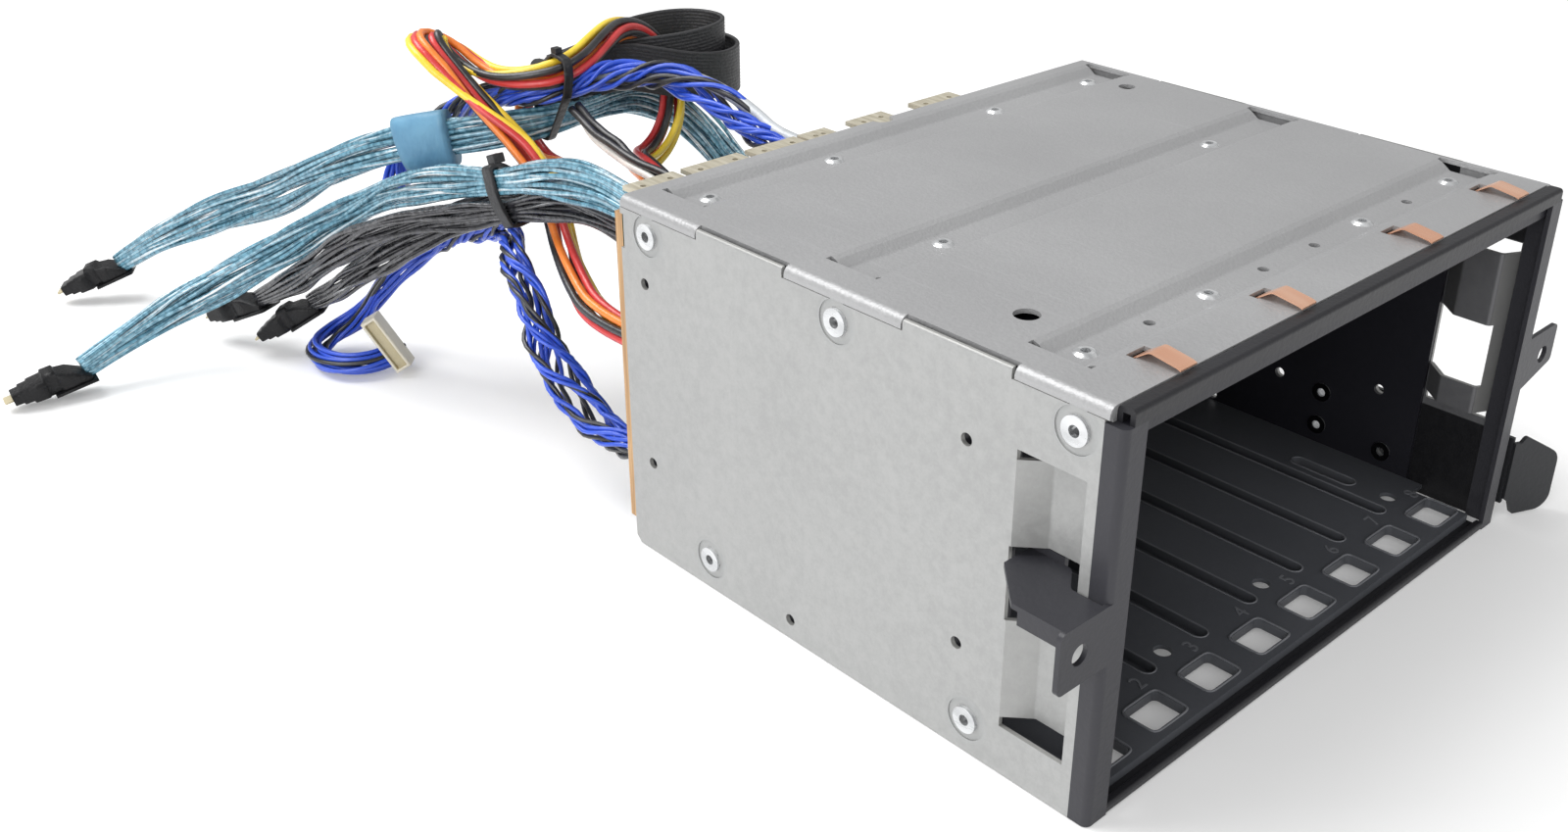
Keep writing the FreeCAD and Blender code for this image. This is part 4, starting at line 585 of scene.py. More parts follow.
def bundle(name, run, wires, materials):
    """One mesh from many carried sections, closed at both ends.

    wires is a list of (rings, index of material). The UV map holds how far along the run a corner
    is, and its share of the way round, which is shifted so that no two wires look the same."""
    piece = lofted(name, [(rings, False) for rings, _ in wires], materials, smooth=True)
    paints, uvs = [], []
    for index, (rings, paint) in enumerate(wires):
        n, m = rings.shape[:2]
        paints += [paint] * ((n - 1) * m + 2)
        along, ahead = np.repeat(run[:n - 1], m), np.repeat(run[1:n], m)
        turn = np.tile(np.arange(m) / m, n - 1) + 14.6 * index
        more = turn + 1 / m
        corners = np.stack([along, turn, along, more, ahead, more, ahead, turn], axis=-1)
        uvs += [corners.reshape(-1, 2), np.zeros((m * 2, 2))]
    layer = piece.data.uv_layers.new(name="along")
    layer.data.foreach_set("uv", np.concatenate(uvs).ravel())
    piece.data.polygons.foreach_set("material_index", paints)
    return piece


def jacket(name, dark, light, foil_and_highlight, share, roughness):
    """Clear sleeve over foil: streaks along the strip, by the share given, are painted pale, partly
    as the foil and partly as a highlight that lit makes stronger in some stretches.
    """
    finish = Finish(name, relief=0.4, metallic=0.15, coat_weight=0.8, coat_roughness=0.12)
    along = finish.node("ShaderNodeUVMap", {"uv_map": "along"})
    streaks = finish.noise((60.0, 5.0, 0.0), 4.0, along)
    wraps = finish.noise((620.0, 1.0, 0.0), 1.0, along)
    # Painted highlight: lit is a slow mask along the strip that brightens the pale streaks in some
    # stretches.
    lit = finish.noise((22.0, 0.0, 0.0), 1.0, along).step(0.40, 0.62) * 0.7 + 0.3
    colour = finish.mixed(wraps.step(0.35, 0.65), dark, light)
    colour = finish.mixed(streaks.step(1 - share, 1.1 - share) * lit, colour, foil_and_highlight)
    return finish.lay(colour=colour, roughness=roughness + wraps * 0.15, height=wraps)


blue_jackets = [
    jacket("clear_blue_jacket", (0.050, 0.165, 0.235), (0.13, 0.33, 0.44), (0.80, 0.87, 0.90),
           share=0.43, roughness=0.2),
    jacket("foil_jacket", (0.085, 0.225, 0.31), (0.24, 0.46, 0.57), (0.90, 0.93, 0.94),
           share=0.50, roughness=0.18),
]
black_jackets = [
    jacket("clear_black_jacket", (0.010, 0.010, 0.013), (0.035, 0.035, 0.042),
           (0.60, 0.61, 0.63), share=0.32, roughness=0.22),
    jacket("smoke_jacket", (0.022, 0.022, 0.026), (0.075, 0.075, 0.083), (0.72, 0.73, 0.75),
           share=0.38, roughness=0.2),
]
strip_gauge = 0.00112
strip_rows = 3


def strip_bundle(name, points, width, columns, spread, materials, seed, tied_at, slack):
    """Round strips in rows, gathered at both ends and at the tie, and fanned out between.

    A strip's place is its seat in the rows times 1 + spread * wander(share), plus its own wander.
    Slack strips hang below by their depth times sin squared over the last half of the run."""
    lane = Lane(points)
    share = lane.share
    wires = []
    section = round_section(strip_gauge / 2, 8)
    tie_reach, tie_squeeze = 0.05, 0.22
    plug_from, plug_squeeze = 0.86, 0.30
    slack_from, slack_reach = 0.62, 0.30
    row_pitch, stray = strip_gauge * 0.95, strip_gauge * 0.42
    held = 1 - np.exp(-((share - tied_at) / tie_reach) ** 2)
    gather = lane.free(first=9, last=6) * held
    near_plug = np.clip((share - plug_from) / (1 - plug_from), 0, 1)
    narrow = 1 - plug_squeeze * near_plug - tie_squeeze * (1 - held)
    for row in range(strip_rows):
        for column in range(columns):
            index = row * columns + column
            seat = (column - (columns - 1) / 2) * width / columns * narrow
            layer = (row - (strip_rows - 1) / 2) * row_pitch
            open_up = 1 + gather * spread * (0.5 + wave(share, seed, 1.3, 0.4))
            across = layer + gather * wave(share, seed * 50 + index, 2.2, stray)
            up = seat * open_up + gather * wave(share, seed * 70 + index, 2.6, stray)
            wires.append((lane.wire(section, across, up), index % len(materials)))
    for index, depth in enumerate(slack):
        bow = np.sin(math.pi * np.clip((share - slack_from) / slack_reach, 0, 1)) ** 2
        across = wave(share, seed * 90 + index, 1.5, strip_gauge * 0.5) * gather
        up = -width * 0.35 * narrow - depth * bow
        wires.append((lane.wire(section, across, up), index % len(materials)))
    return bundle(name, lane.run, wires, materials), lane, [rings for rings, _ in wires]


data_cables = {
    1: dict(
        width=0.0075, columns=7, spread=0.42, shades=blue_jackets, tied_at=0.40,
        slack=(0.0020, 0.0028, 0.0036), length=0.276, diameter=0.008, slot="cord_blue",
        plug_way=(-16.3, 10.3, -8.0), route=[
            (0.006, 0.06775, 0.0425), (0.006, 0.08375, 0.0425), (0.007, 0.09875, 0.0435),
            (0.008, 0.11375, 0.046), (0.009, 0.12675, 0.0505), (0.008, 0.13675, 0.0575),
            (0.003, 0.14375, 0.0645), (-0.006, 0.14675, 0.069), (-0.016, 0.14525, 0.07),
            (-0.026, 0.14125, 0.0705), (-0.036, 0.13925, 0.071), (-0.0455, 0.14175, 0.07),
            (-0.054, 0.14925, 0.068), (-0.061, 0.15975, 0.0655), (-0.066, 0.17075, 0.062),
            (-0.071, 0.18275, 0.057), (-0.075, 0.19575, 0.0505), (-0.078, 0.20875, 0.0435),
            (-0.082, 0.22175, 0.0375), (-0.088, 0.23375, 0.0315), (-0.094, 0.24575, 0.025),
            (-0.099, 0.25775, 0.018), (-0.103, 0.26775, 0.011),
        ]),
    2: dict(
        width=0.0072, columns=7, spread=0.32, shades=blue_jackets, tied_at=0.26,
        slack=(), length=0.196, diameter=0.008, slot="cord_blue",
        plug_way=(-18.2, 3.3, -4.0), route=[
            (-0.0645, 0.06775, 0.0735), (-0.0645, 0.07525, 0.0744), (-0.0647, 0.08325, 0.075),
            (-0.065, 0.09425, 0.0738), (-0.0655, 0.10675, 0.0708), (-0.066, 0.11975, 0.0666),
            (-0.067, 0.13175, 0.0636), (-0.07, 0.14475, 0.0605), (-0.071, 0.15875, 0.0555),
            (-0.073, 0.17375, 0.0475), (-0.079, 0.18775, 0.0385), (-0.087, 0.19875, 0.0305),
            (-0.097, 0.20675, 0.024), (-0.11, 0.21275, 0.0175), (-0.123, 0.21575, 0.0115),
            (-0.135, 0.21575, 0.007),
        ]),
    3: dict(
        width=0.0060, columns=6, spread=0.30, shades=black_jackets, tied_at=0.34,
        slack=(), length=0.152, diameter=0.0065, slot="cord_black",
        plug_way=(-11.8, 24.3, -12.0), route=[
            (-0.0605, 0.06775, 0.0632), (-0.0605, 0.07575, 0.0645), (-0.0607, 0.08425, 0.066),
            (-0.0612, 0.09525, 0.0658), (-0.0625, 0.10775, 0.0633), (-0.0645, 0.11975, 0.059),
            (-0.069, 0.13175, 0.0555), (-0.074, 0.14475, 0.0523), (-0.079, 0.15775, 0.047),
            (-0.083, 0.17075, 0.039), (-0.085, 0.18375, 0.03), (-0.0865, 0.19675, 0.022),
            (-0.089, 0.20875, 0.015),
        ]),
    4: dict(
        width=0.0060, columns=6, spread=0.30, shades=black_jackets, tied_at=0.37,
        slack=(), length=0.142, diameter=0.0065, slot="cord_black",
        plug_way=(-13.6, 13.1, -12.2), route=[
            (-0.0537, 0.06775, 0.066), (-0.0537, 0.07575, 0.067), (-0.0539, 0.08425, 0.0682),
            (-0.0545, 0.09525, 0.068), (-0.056, 0.10875, 0.065), (-0.058, 0.12075, 0.0605),
            (-0.0615, 0.13075, 0.056), (-0.066, 0.14075, 0.0515), (-0.072, 0.15075, 0.045),
            (-0.0765, 0.16175, 0.0375), (-0.0795, 0.17375, 0.029), (-0.08, 0.18525, 0.0215),
            (-0.08, 0.19625, 0.0155),
        ]),
}
plug_plastic = moulded("plug_plastic", (0.004, 0.004, 0.005), (0.012, 0.012, 0.013), 0.30,
                       scale=1500.0, shine=0.25)
card_finish = moulded("contact_card", (0.42, 0.36, 0.22), (0.58, 0.52, 0.36), 0.3)

# The stations of a plug: how far along, half width, lowest and highest.
plug_body = (
    (-0.0003, 0.0030, -0.0026, -0.0016), (0.0000, 0.0033, -0.0028, -0.0012),
    (0.0046, 0.0036, -0.0029, 0.0019), (0.0072, 0.0037, -0.0029, 0.0024),
    (0.0075, 0.0030, -0.0029, 0.0034), (0.0104, 0.0030, -0.0029, 0.0035),
    (0.0108, 0.0037, -0.0029, 0.0025), (0.0142, 0.0037, -0.0027, 0.0023),
    (0.0145, 0.0032, -0.0022, 0.0020), (0.0166, 0.0032, -0.0021, 0.0019),
    (0.0168, 0.0028, -0.0017, 0.0015), (0.0188, 0.0028, -0.0016, 0.0014),
    (0.0188, 0.0022, -0.0010, 0.0008), (0.0172, 0.0022, -0.0010, 0.0008),
)
plug_skirt = ((-0.0012, 0.0040, -0.0034, -0.0024), (0.0095, 0.0040, -0.0034, -0.0024))
plug_card = (
    (0.0160, 0.0019, -0.00045, 0.00025), (0.0206, 0.0019, -0.00045, 0.00025),
    (0.0209, 0.0015, -0.0003, 0.0001),
)


def squared_ovals(stations, corners, power, shift):
    """A ring for each station: (along, half width * c, middle + half height * s)."""
    c, s = squared_circle(corners, power, shift)
    x, half, low, high = np.array(stations).T[..., None]
    return np.stack([np.broadcast_to(x, (len(x), corners)), half * c,
                     (low + high) / 2 + (high - low) / 2 * s], axis=-1)


def moulded_plug(name, tail, ahead):
    """A plug lofted as squared ovals from its sheared tail to its nose, with a card in the nose."""
    side = unit(np.cross((0, 0, 1), ahead))
    turned = np.stack([ahead, side, np.cross(ahead, side)])
    body, skirt, card = (
        tail + squared_ovals(stations, corners=28, power=0.35, shift=0.5) @ turned
        for stations in (plug_body, plug_skirt, plug_card))
    even_run = np.linspace(0, 0.02, len(body))
    return bundle(name, even_run, [(body, 0), (skirt, 0), (card, 1)], [plug_plastic, card_finish])


def sleeve(name, lane, start, end, wide, high, material):
    """A flat tape sleeve from start to end of the line: an oval carried along it.

    The oval is a squared ellipse that a slow wander turns a little."""
    chosen = (lane.share >= start) & (lane.share <= end)
    c, s = squared_circle(corners=28, power=0.7)
    oval = np.column_stack([c * wide, s * high])
    turn = wave(lane.run / lane.run[chosen][-1], 5, 1.0, 0.05)
    wrap = lane.wire(oval, 0.0, 0.0, turn)[chosen]
    return bundle(name, lane.run[chosen], [(wrap, 0)], [material])


def tape_finish():
    finish = Finish("blue_tape", relief=0.5, coat_weight=0.15)
    weave = finish.noise((1800.0, 500.0, 500.0), 2.0)
    cloud = finish.noise(120.0, 3.0)
    colour = finish.mixed(cloud.step(0.3, 0.7), (0.085, 0.23, 0.37), (0.13, 0.31, 0.46))
    return finish.lay(colour=colour, roughness=0.5 + weave * 0.2, height=weave * 0.4 + cloud * 0.6)


plug_overlap = 0.001
strips, lanes, strands, riding = {}, {}, {}, {}
for number, cable in data_cables.items():
    strips[number], lanes[number], strands[number] = strip_bundle(
        f"data_strips_{number}", cable["route"], cable["width"], cable["columns"], cable["spread"],
        cable["shades"], number, cable["tied_at"], cable["slack"])
    plug_way = unit(np.array(cable["plug_way"]))
    tail = cable["route"][-1] - plug_way * plug_overlap
    plug = moulded_plug(f"moulded_plug_{number}", tail, plug_way)
    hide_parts(f"data_plug_{number}")
    riding[number] = [plug]
    if number == 1:
        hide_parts("plug_cards")
        tape = sleeve("tape_sleeve", lanes[1], start=0.525, end=0.580, wide=0.0029, high=0.0070,
                      material=tape_finish())
        riding[1].append(tape)
    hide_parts(f"data_cable_{number}")


# ---- first cable tie -------------------------------------------------------------
# A nylon tie pulled tight round the three shorter data cables, with its square
# head on top. The band lies on the outermost strips all the way round.

def tight_band(name, held, middle, along, width, gauge, block):
    """A band on the strands' convex outline, in the plane through middle square to along.

    The outline at each angle is where neighbouring support lines meet: their distance is the
    farthest strand point in that direction. The band's rings are that outline, swelled by
    0 or gauge, and carried width / 2 to either side. Its head is a block on the highest point."""
    along = unit(np.array(along))
    side = unit(np.cross(along, (0, 0, 1)))
    rise = np.cross(side, along)
    points = np.concatenate([rings.reshape(-1, 3) for rings in held]) - middle
    near = np.linalg.norm(points, axis=1) < tie_grasp
    points = points[(np.abs(points @ along) < width / 2) & near]
    out = np.column_stack(squared_circle(48))
    reach = (np.column_stack([points @ side, points @ rise]) @ out.T).max(axis=0) + tie_clearance
    turn = 2 * math.pi / len(out)
    swing = (np.roll(reach, -1) - reach * math.cos(turn)) / math.sin(turn)
    inner = out * reach[:, None] + np.column_stack([-out[:, 1], out[:, 0]]) * swing[:, None]
    outer = inner * (1 + gauge / np.linalg.norm(inner, axis=1))[:, None]
    loops = ((inner, -1), (outer, -0.9), (outer * 1.01, 0), (outer, 0.9), (inner, 1),
             (inner * 0.98, 0))
    band = np.stack([middle + loop[:, :1] * side + loop[:, 1:] * rise + along * width / 2 * at
                     for loop, at in loops])
    peak = (inner[inner[:, 1].argmax(), 0], inner[:, 1].max() + gauge, 0)
    corners = ((-1, -0.2), (1, -0.2), (1, 1.9), (-1, 1.9))
    head = np.array([[(x, y, z) for x, y in corners] for z in (-1, 1)])
    head = head * (block, block * 0.7, block) + peak
    head = middle + head @ np.stack([side, rise, along])
    tie = lofted(name, [(band, True), (head, False)], [tie_nylon], bevel=0.0002)
    return tie


tie_grasp = 0.015
tie_clearance = 0.0002
tie_nylon = moulded("tie_nylon", (0.010, 0.010, 0.011), (0.025, 0.025, 0.028), 0.3)
band_1 = tight_band("tight_band_1", strands[2] + strands[3] + strands[4],
                    middle=np.array((-0.0627, 0.11975, 0.0630)), along=(-0.05, 0.95, -0.32),
                    width=0.0038, gauge=0.0010, block=0.0015)
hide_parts("cable_tie_1")
riding[4].append(band_1)


# ---- tape round the ribbons -------------------------------------------------------
# Turns of black cloth tape hold the four ends of the two ribbon loops. They are
# wound by hand, so that the wrap swells and narrows a little from end to end.

def wound_tape(name, low, high, material):
    """A squared oval lofted along X between two corners, swelled by 0.95 + 0.05 sin(3 pi share)."""
    share = np.linspace(0, 1, 9)
    run = share * (high[0] - low[0])
    swell = 0.95 + 0.05 * np.sin(3 * math.pi * share)
    half_y, half_z = (high[1:] - low[1:])[:, None] / 2 * swell
    _, y, z = (low + high) / 2
    rings = squared_ovals(np.column_stack([low[0] + run, half_y, z - half_z, z + half_z]),
                          corners=32, power=0.45, shift=0.5)
    return bundle(name, run, [(rings + (0, y, 0), 0)], [material])


cloth_tape = moulded("cloth_tape", (0.012, 0.012, 0.012), (0.03, 0.03, 0.03), 0.6, scale=1800.0)
ribbon_tape = wound_tape("ribbon_tape", np.array((-0.0350, 0.1396, 0.0710)),
                         np.array((-0.0292, 0.1525, 0.0832)), cloth_tape)
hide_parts("ribbon_wrap")


# ---- power wires --------------------------------------------------------------
# Seven stranded wires with soft PVC jackets in the usual colours, tied into a
# loop, a branch of four more, and a short return lead of three.

def wire_finish(name, colour):
    """Soft plastic jacket: an even colour with a slight bloom and a fine grain."""
    finish = Finish(name, relief=0.15, coat_weight=0.5, coat_roughness=0.2)
    bloom = finish.noise(90.0, 3.0)
    grain = finish.noise(900.0, 1.0)
    pale = tuple(min(1.0, c * 1.25 + 0.02) for c in colour)
    return finish.lay(colour=finish.mixed(bloom.step(0.35, 0.75), colour, pale),
                      roughness=0.32 + grain * 0.15, height=grain)


jackets = {colour: wire_finish(f"wire_{colour}", shade) for colour, shade in {
    "black": (0.012, 0.012, 0.014),
    "red": (0.56, 0.03, 0.03),
    "yellow": (0.80, 0.56, 0.03),
    "orange": (0.80, 0.20, 0.02),
    "white": (0.74, 0.72, 0.68),
    "blue": (0.018, 0.075, 0.55),
    "grey": (0.42, 0.44, 0.46),
}.items()}
power_gauge = 0.0019


def ring_seats(radius, colours):
    """Seats (distance, angle, colour) evenly round a circle."""
    return [(radius, k * 2 * math.pi / len(colours), c) for k, c in enumerate(colours)]


def coloured_wires(name, node, lane, wires):
    """One piece of wires, each (rings, colour); gives it, its lane and the rings of its wires."""
    colours = sorted({colour for _, colour in wires})
    piece = bundle(name, lane.run, [(rings, colours.index(colour)) for rings, colour in wires],
                   [jackets[colour] for colour in colours])
    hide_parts(node)
    return piece, lane, [rings for rings, _ in wires]


def wire_bundle(name, node, points, seats, loose, twist, seed, reference=(0, 0, 1), row=None):
    """Round wires whose seats in the bundle turn slowly along it.

    A seat's angle grows by twist * share, and its distance by 1 + loose(share), so that the wires
    part where nothing holds them. Where row(share) is 1 they lie in one flat row instead."""
    lane = Lane(points, reference)
    share, gather = lane.share, lane.free(first=10, last=10)
    wires = []
    section = round_section(power_gauge / 2)
    row_pitch, row_step = power_gauge * 0.72, power_gauge * 0.35
    for index, (distance, angle, colour) in enumerate(seats):
        turn = angle + twist * share + gather * wave(share, seed + index, 1.5, 0.25)
        wander = wave(share, seed * 9 + index, 2.4, power_gauge * 0.12)
        apart = distance * (1 + gather * loose(share)) + gather * wander
        across, up = apart * np.cos(turn), apart * np.sin(turn)
        if row is not None:
            flat = row(share)
            across = across * (1 - flat) + flat * (index - (len(seats) - 1) / 2) * row_pitch
            up = up * (1 - flat) + flat * (index % 3 - 1) * row_step
        wires.append((lane.wire(section, across, up), colour))
    return coloured_wires(name, node, lane, wires)


power_route = [
    (-0.068, 0.06775, 0.046), (-0.068, 0.08275, 0.046), (-0.065, 0.09375, 0.05),
    (-0.06, 0.10475, 0.0525), (-0.0545, 0.11475, 0.0555), (-0.0505, 0.12375, 0.0605),
    (-0.051, 0.13125, 0.0675), (-0.054, 0.13875, 0.074), (-0.056, 0.14475, 0.0785),
    (-0.0577, 0.14925, 0.083), (-0.0594, 0.15325, 0.0872), (-0.06, 0.15775, 0.0906),
    (-0.0572, 0.16135, 0.0912), (-0.0528, 0.16015, 0.088), (-0.0508, 0.15475, 0.0842),
    (-0.0494, 0.14875, 0.0824), (-0.0475, 0.14325, 0.0822), (-0.045, 0.13775, 0.083),
    (-0.04, 0.13305, 0.084), (-0.0325, 0.13355, 0.0858), (-0.025, 0.13675, 0.088),
    (-0.0175, 0.14075, 0.0892), (-0.0095, 0.14355, 0.0878), (-0.0025, 0.14375, 0.0825),
    (0.0005, 0.14175, 0.0745), (-0.002, 0.13725, 0.0665), (-0.008, 0.13375, 0.0605),
    (-0.0155, 0.13075, 0.058), (-0.0225, 0.12625, 0.0595), (-0.0265, 0.11675, 0.0605),
    (-0.0295, 0.10375, 0.0585), (-0.031, 0.09025, 0.056), (-0.032, 0.08225, 0.055),
    (-0.032, 0.06775, 0.055),
]
branch_route = [
    (-0.044, 0.06775, 0.059), (-0.044, 0.08325, 0.059), (-0.0465, 0.09275, 0.0625),
    (-0.0475, 0.10475, 0.0655), (-0.045, 0.11825, 0.064), (-0.043, 0.12975, 0.061),
    (-0.0415, 0.14025, 0.0605), (-0.0405, 0.14825, 0.066), (-0.039, 0.15075, 0.074),
    (-0.035, 0.14775, 0.08),
]
return_route = [
    (-0.037, 0.13075, 0.0755), (-0.037, 0.12375, 0.0715), (-0.0375, 0.11475, 0.0695),
    (-0.038, 0.10475, 0.068), (-0.038, 0.09375, 0.0665), (-0.0377, 0.08375, 0.0645),
    (-0.0377, 0.06775, 0.0645),
]
power_wires, power_lane, power_strands = wire_bundle(
    "power_wires", "power_cable", power_route,
    ring_seats(0.0021, ["yellow", "red", "orange", "black", "red", "black", "yellow"]),
    loose=lambda share: 0.2, twist=5.0, seed=3,
    row=lambda share: np.clip(np.minimum((share - 0.25) / 0.09, (0.50 - share) / 0.09), 0, 1))
branch_wires, branch_lane, _ = wire_bundle(
    "branch_wires", "power_branch", branch_route,
    ring_seats(0.00145, ["red", "orange", "yellow", "black"]),
    loose=lambda share: 0.5 * np.sin(math.pi * share), twist=3.0, seed=11, reference=(1, 0, 0))
return_wires, return_lane, _ = wire_bundle(
    "return_wires", "return_lead", return_route, ring_seats(0.0011, ["black", "black", "white"]),
    loose=lambda share: 0.3 * np.sin(math.pi * share), twist=3.0, seed=17)


# ---- signal harnesses and the second cable tie --------------------------------
# Thin blue and black wires twisted in pairs, the pairs twisted again into a rope.
# The low one ends in a cream plug, and a tie holds the top one to the power wires.

def twisted_rope(name, node, points, pairs, gauge, rope, pair_turns, rope_turns, twisted, loose,
                 seed, leads=()):
    """Pairs of wires that turn about each other while the pairs turn about the line.

    Pair k is at angle 2 pi k / pairs + 2 pi rope_turns t, rope * (1 + loose) from the line, and
    its two wires stand half a gauge to either side at angle 2 pi pair_turns t, t = twisted(share).
    A lead is a plain thicker wire beside them: (across(share), up(share), gauge, colour)."""
    lane = Lane(points)
    share, gather = lane.share, lane.free(first=12, last=12)
    section = round_section(gauge / 2, 8)
    wires = []
    for k, (first, second) in enumerate(pairs):
        turn = (2 * math.pi * (k / len(pairs) + rope_turns * twisted(share))
                + gather * wave(share, seed + k, 2.0, 0.4))
        apart = (rope * (1 + gather * loose(share))
                 + gather * wave(share, seed * 7 + k, 3.0, gauge * 0.25))
        own = (2 * math.pi * (pair_turns * twisted(share) + k / 3)
               + gather * wave(share, seed * 3 + k, 3.0, 0.6))
        for half, colour in ((gauge * 0.55, first), (gauge * -0.55, second)):
            across = apart * np.cos(turn) + half * np.cos(own)
            up = apart * np.sin(turn) + half * np.sin(own)
            wires.append((lane.wire(section, across, up), colour))
    for across, up, size, colour in leads:
        wires.append((lane.wire(round_section(size / 2, 12), across(share), up(share)), colour))
    return coloured_wires(name, node, lane, wires)


low_route = [
    (-0.068, 0.06775, 0.0175), (-0.068, 0.08175, 0.0175), (-0.069, 0.08775, 0.022),
    (-0.0715, 0.09425, 0.03), (-0.072, 0.09925, 0.038), (-0.07, 0.10475, 0.045),
    (-0.069, 0.11325, 0.0495), (-0.0635, 0.12075, 0.052), (-0.059, 0.12975, 0.0503),
    (-0.0585, 0.14025, 0.047), (-0.0605, 0.15075, 0.0435), (-0.0635, 0.16125, 0.0375),
    (-0.066, 0.17125, 0.0295), (-0.0675, 0.17975, 0.021), (-0.0675, 0.18675, 0.014),
    (-0.07, 0.19275, 0.0085), (-0.076, 0.19625, 0.005), (-0.0825, 0.19375, 0.0038),
    (-0.0845, 0.18675, 0.0038), (-0.083, 0.18025, 0.0038), (-0.0785, 0.17575, 0.0039),
    (-0.0725, 0.17425, 0.0041), (-0.067, 0.17495, 0.0048),
]
top_route = [
    (-0.016, 0.06775, 0.072), (-0.016, 0.08275, 0.072), (-0.0158, 0.09375, 0.0775),
    (-0.017, 0.10575, 0.0815), (-0.019, 0.11675, 0.0827), (-0.024, 0.12575, 0.0825),
    (-0.0315, 0.13225, 0.081), (-0.04, 0.13645, 0.0793), (-0.0462, 0.14395, 0.078),
    (-0.0485, 0.15475, 0.0745), (-0.05, 0.16575, 0.0685), (-0.0535, 0.17575, 0.0605),
    (-0.058, 0.18175, 0.0515), (-0.062, 0.18275, 0.0425),
]
low_rope, low_lane, _ = twisted_rope(
    "low_harness_rope", "signal_harness_low", low_route,
    [("blue", "blue"), ("black", "blue"), ("blue", "blue"), ("blue", "black"), ("black", "black"),
     ("blue", "blue"), ("blue", "blue"), ("blue", "black")],
    gauge=0.00112, rope=0.0021, pair_turns=13, rope_turns=3.4,
    twisted=lambda share: np.minimum(share, 0.55) + 0.1 * np.maximum(share - 0.55, 0),
    loose=lambda share: 0.85 * np.exp(-((share - 0.12) / 0.14) ** 2) - 0.05, seed=21)


def bar_plug(name, middle, long_way, face_way, half_long, half_wide, depth):
    """A cream bar plug: rectangles lofted from its back to its open face, then into the mouth.

    A step is how far the rectangle is drawn in, and how far it lies behind the open face."""
    steps = ((0.0007, depth), (0.0, depth - 0.0008), (0.0, 0.0004), (0.0003, 0.0), (0.0008, 0.0),
             (0.0010, 0.0003), (0.0010, 0.0010))
    long_way = unit(np.array(long_way))
    face_way = unit(face_way - long_way * (face_way @ long_way))
    wide_way = np.cross(face_way, long_way)
    rings = drawn_in(middle, long_way, wide_way, -face_way, half_long, half_wide, steps)
    plug = lofted(name, [(rings, False)], [cream, card_finish], bevel=0.00025)
    sides = 4 * (len(steps) - 1)
    plug.data.polygons.foreach_set("material_index", [0] * (sides - 8) + [1] * 8 + [0, 1])
    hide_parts("signal_plug")
    return plug


cream_plug = bar_plug("cream_plug", middle=(-0.0735, 0.1712, 0.0092), long_way=(-5.0, 6.0, 12.5),
                      face_way=np.array((-0.62, -0.64, 0.2)), half_long=0.0080, half_wide=0.0023,
                      depth=0.0065)
grey_lead = (lambda share: 0.0028 * (1 - share),
             lambda share: 0.0034 * np.clip(1 - 2.2 * share, -0.6, 1), 0.003, "grey")
top_rope, top_lane, top_strands = twisted_rope(
    "top_harness_rope", "signal_harness_top", top_route,
    [("blue", "blue"), ("blue", "blue"), ("black", "blue"), ("blue", "blue"), ("black", "black"),
     ("blue", "black"), ("blue", "blue")],
    gauge=0.00125, rope=0.0023, pair_turns=7, rope_turns=2.6, twisted=lambda share: share,
    loose=lambda share: 0.1 + 0.1 * np.sin(9 * share), seed=31, leads=[grey_lead])
band_2 = tight_band("tight_band_2", power_strands + top_strands + strands[1],
                    middle=np.array((-0.0390, 0.13595, 0.0780)), along=(1, 0.05, 0),
                    width=0.0026, gauge=0.0008, block=0.0010)
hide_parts("cable_tie_2")


# ---- ribbon cables -------------------------------------------------------------
# Flat grey-black cables of parallel conductors, folded into two loops whose ends
# are held in one wrap of tape. Each conductor stands up as a low ridge.

def ribbon_finish():
    finish = Finish("ribbon_jacket", relief=0.3, coat_weight=0.1, coat_roughness=0.4)
    cloud = finish.noise(80.0, 3.0)
    grain = finish.noise(1100.0, 2.0)
    colour = finish.mixed(cloud, (0.014, 0.014, 0.016), (0.032, 0.032, 0.035))
    return finish.lay(colour=colour, roughness=0.42 + grain * 0.2, height=grain)


ribbon_width = 0.012
ribbon_gauge = 0.0012
ribbon_ridges = 14


def ribbon(name, points, material):
    """A flat band on edge with ridged faces, carried along the line.

    Across the band the half thickness is gauge / 2 * (0.72 + 0.28 * |sin(pi * ridges * v)|)."""
    lane = Lane(points)
    v = np.linspace(0, 1, ribbon_ridges * 3 + 1)
    half = ribbon_gauge / 2 * (0.72 + 0.28 * np.abs(np.sin(math.pi * ribbon_ridges * v)))
    up = (v - 0.5) * ribbon_width
    outline = np.concatenate([np.column_stack([half, up]), np.column_stack([-half, up])[::-1]])
    return bundle(name, lane.run, [(lane.wire(outline, 0.0, 0.0), 0)], [material]), lane


ribbon_routes = {
    1: [
        (-0.03, 0.14855, 0.077), (-0.021, 0.14855, 0.079), (-0.01, 0.15015, 0.0818),
        (0.0, 0.15195, 0.082), (0.0085, 0.15025, 0.0823), (0.0145, 0.14525, 0.0823),
        (0.0168, 0.13925, 0.0818), (0.0135, 0.13495, 0.0813), (0.005, 0.13395, 0.0808),
        (-0.004, 0.13655, 0.0802), (-0.0125, 0.14075, 0.0799), (-0.0215, 0.14475, 0.0788),
        (-0.03, 0.14475, 0.077),
    ],
    2: [
        (-0.03, 0.15055, 0.077), (-0.0205, 0.15055, 0.078), (-0.01, 0.15295, 0.0795),
        (0.001, 0.15505, 0.0775), (0.0105, 0.15355, 0.0765), (0.0175, 0.14825, 0.076),
        (0.0203, 0.14025, 0.0755), (0.017, 0.13225, 0.0753), (0.0085, 0.12805, 0.0755),
        (-0.001, 0.12975, 0.0765), (-0.009, 0.13435, 0.0785), (-0.016, 0.13935, 0.0802),
        (-0.0225, 0.14275, 0.0786), (-0.03, 0.14275, 0.077),
    ],
}
ribbon_black = ribbon_finish()
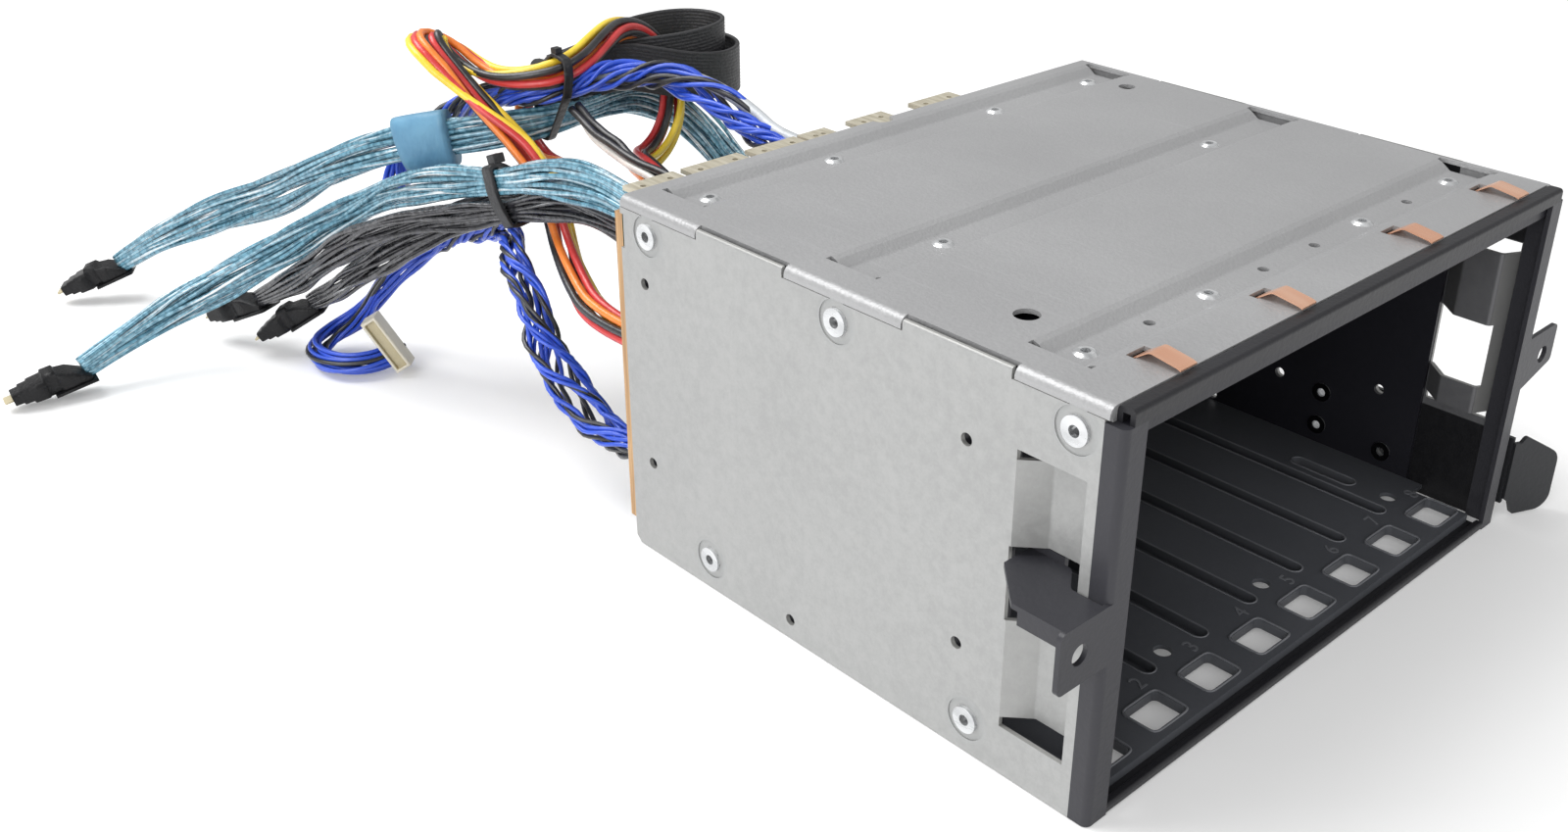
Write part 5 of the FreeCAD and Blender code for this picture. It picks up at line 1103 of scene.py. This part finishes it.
for number, length in ((1, 0.101), (2, 0.118)):
    band, lane = ribbon(f"ribbon_band_{number}", ribbon_routes[number], ribbon_black)
    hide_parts(f"ribbon_cable_{number}")


# ---- studio: floor, lamps and camera --------------------------------------------
# A pale sweep under soft lamps. The camera looks from the front left, above.

def floor_finish():
    """White where the camera, a gloss or glass sees it, by light that falls on nothing else."""
    white = (1.0, 1.0, 1.0, 1.0)
    finish = Finish("studio_floor", roughness=0.9, base_color=(0.86, 0.86, 0.86, 1.0),
                    specular_ior_level=0.1, emission_color=white)
    rays = finish.node("ShaderNodeLightPath", {}).socket.node.outputs
    camera, glossy, through = (Level(finish, rays[name]) for name in (
        "Is Camera Ray", "Is Glossy Ray", "Is Transmission Ray"))
    lit = (camera + glossy + through) * 0.16
    finish.tree.links.new(lit.socket, finish.shader.inputs["Emission Strength"])
    return finish.material


floor_corners = [(-4, -4, 0), (4, -4, 0), (4, 4, 0), (-4, 4, 0)]
floor_mesh = bpy.data.meshes.new("studio_floor")
floor_mesh.from_pydata(floor_corners, [], [(0, 1, 2, 3)])
floor_mesh.materials.append(floor_finish())
floor = bpy.data.objects.new("studio_floor", floor_mesh)
floor.location.z = cad_box[0].z - 0.0002
bpy.context.scene.collection.objects.link(floor)


def soft_lamp(name, place, target, size, power):
    lamp = bpy.data.lights.new(name, "AREA")
    lamp.size = size
    lamp.energy = power
    item = bpy.data.objects.new(name, lamp)
    item.location = place
    item.rotation_euler = (Vector(target) - Vector(place)).to_track_quat("-Z", "Y").to_euler()
    bpy.context.scene.collection.objects.link(item)


soft_lamp("lamp_overhead", (-0.40, 0.65, 1.15), (0, 0.05, 0.03), size=0.9, power=16)
soft_lamp("lamp_left", (-1.2, -0.35, 0.55), (0, 0.05, 0.03), size=0.8, power=9)
soft_lamp("lamp_front", (0.35, -1.3, 0.5), (0, 0, 0.03), size=0.9, power=4)

world = bpy.data.worlds.new("studio_world")
world.use_nodes = True
background = world.node_tree.nodes["Background"]
background.inputs["Color"].default_value = (1.0, 1.0, 1.0, 1.0)
background.inputs["Strength"].default_value = 0.48
bpy.context.scene.world = world
bpy.context.scene.view_settings.view_transform = "Standard"

lens = bpy.data.cameras.new("camera")
lens.sensor_width = 36
lens.lens = 37.38
lens.shift_x = -0.0402
lens.shift_y = -0.0190
lens.clip_start = 0.01
camera = bpy.data.objects.new("camera", lens)
azimuth, elevation, roll = (math.radians(angle) for angle in (-44.262, 27.143, 0.777))
camera.matrix_world = (
    Matrix.Translation((-0.2546, -0.1880, 0.1958)) @ Matrix.Rotation(azimuth, 4, "Z")
    @ Matrix.Rotation(math.pi / 2 - elevation, 4, "X") @ Matrix.Rotation(roll, 4, "Z"))
bpy.context.scene.collection.objects.link(camera)
bpy.context.scene.camera = camera
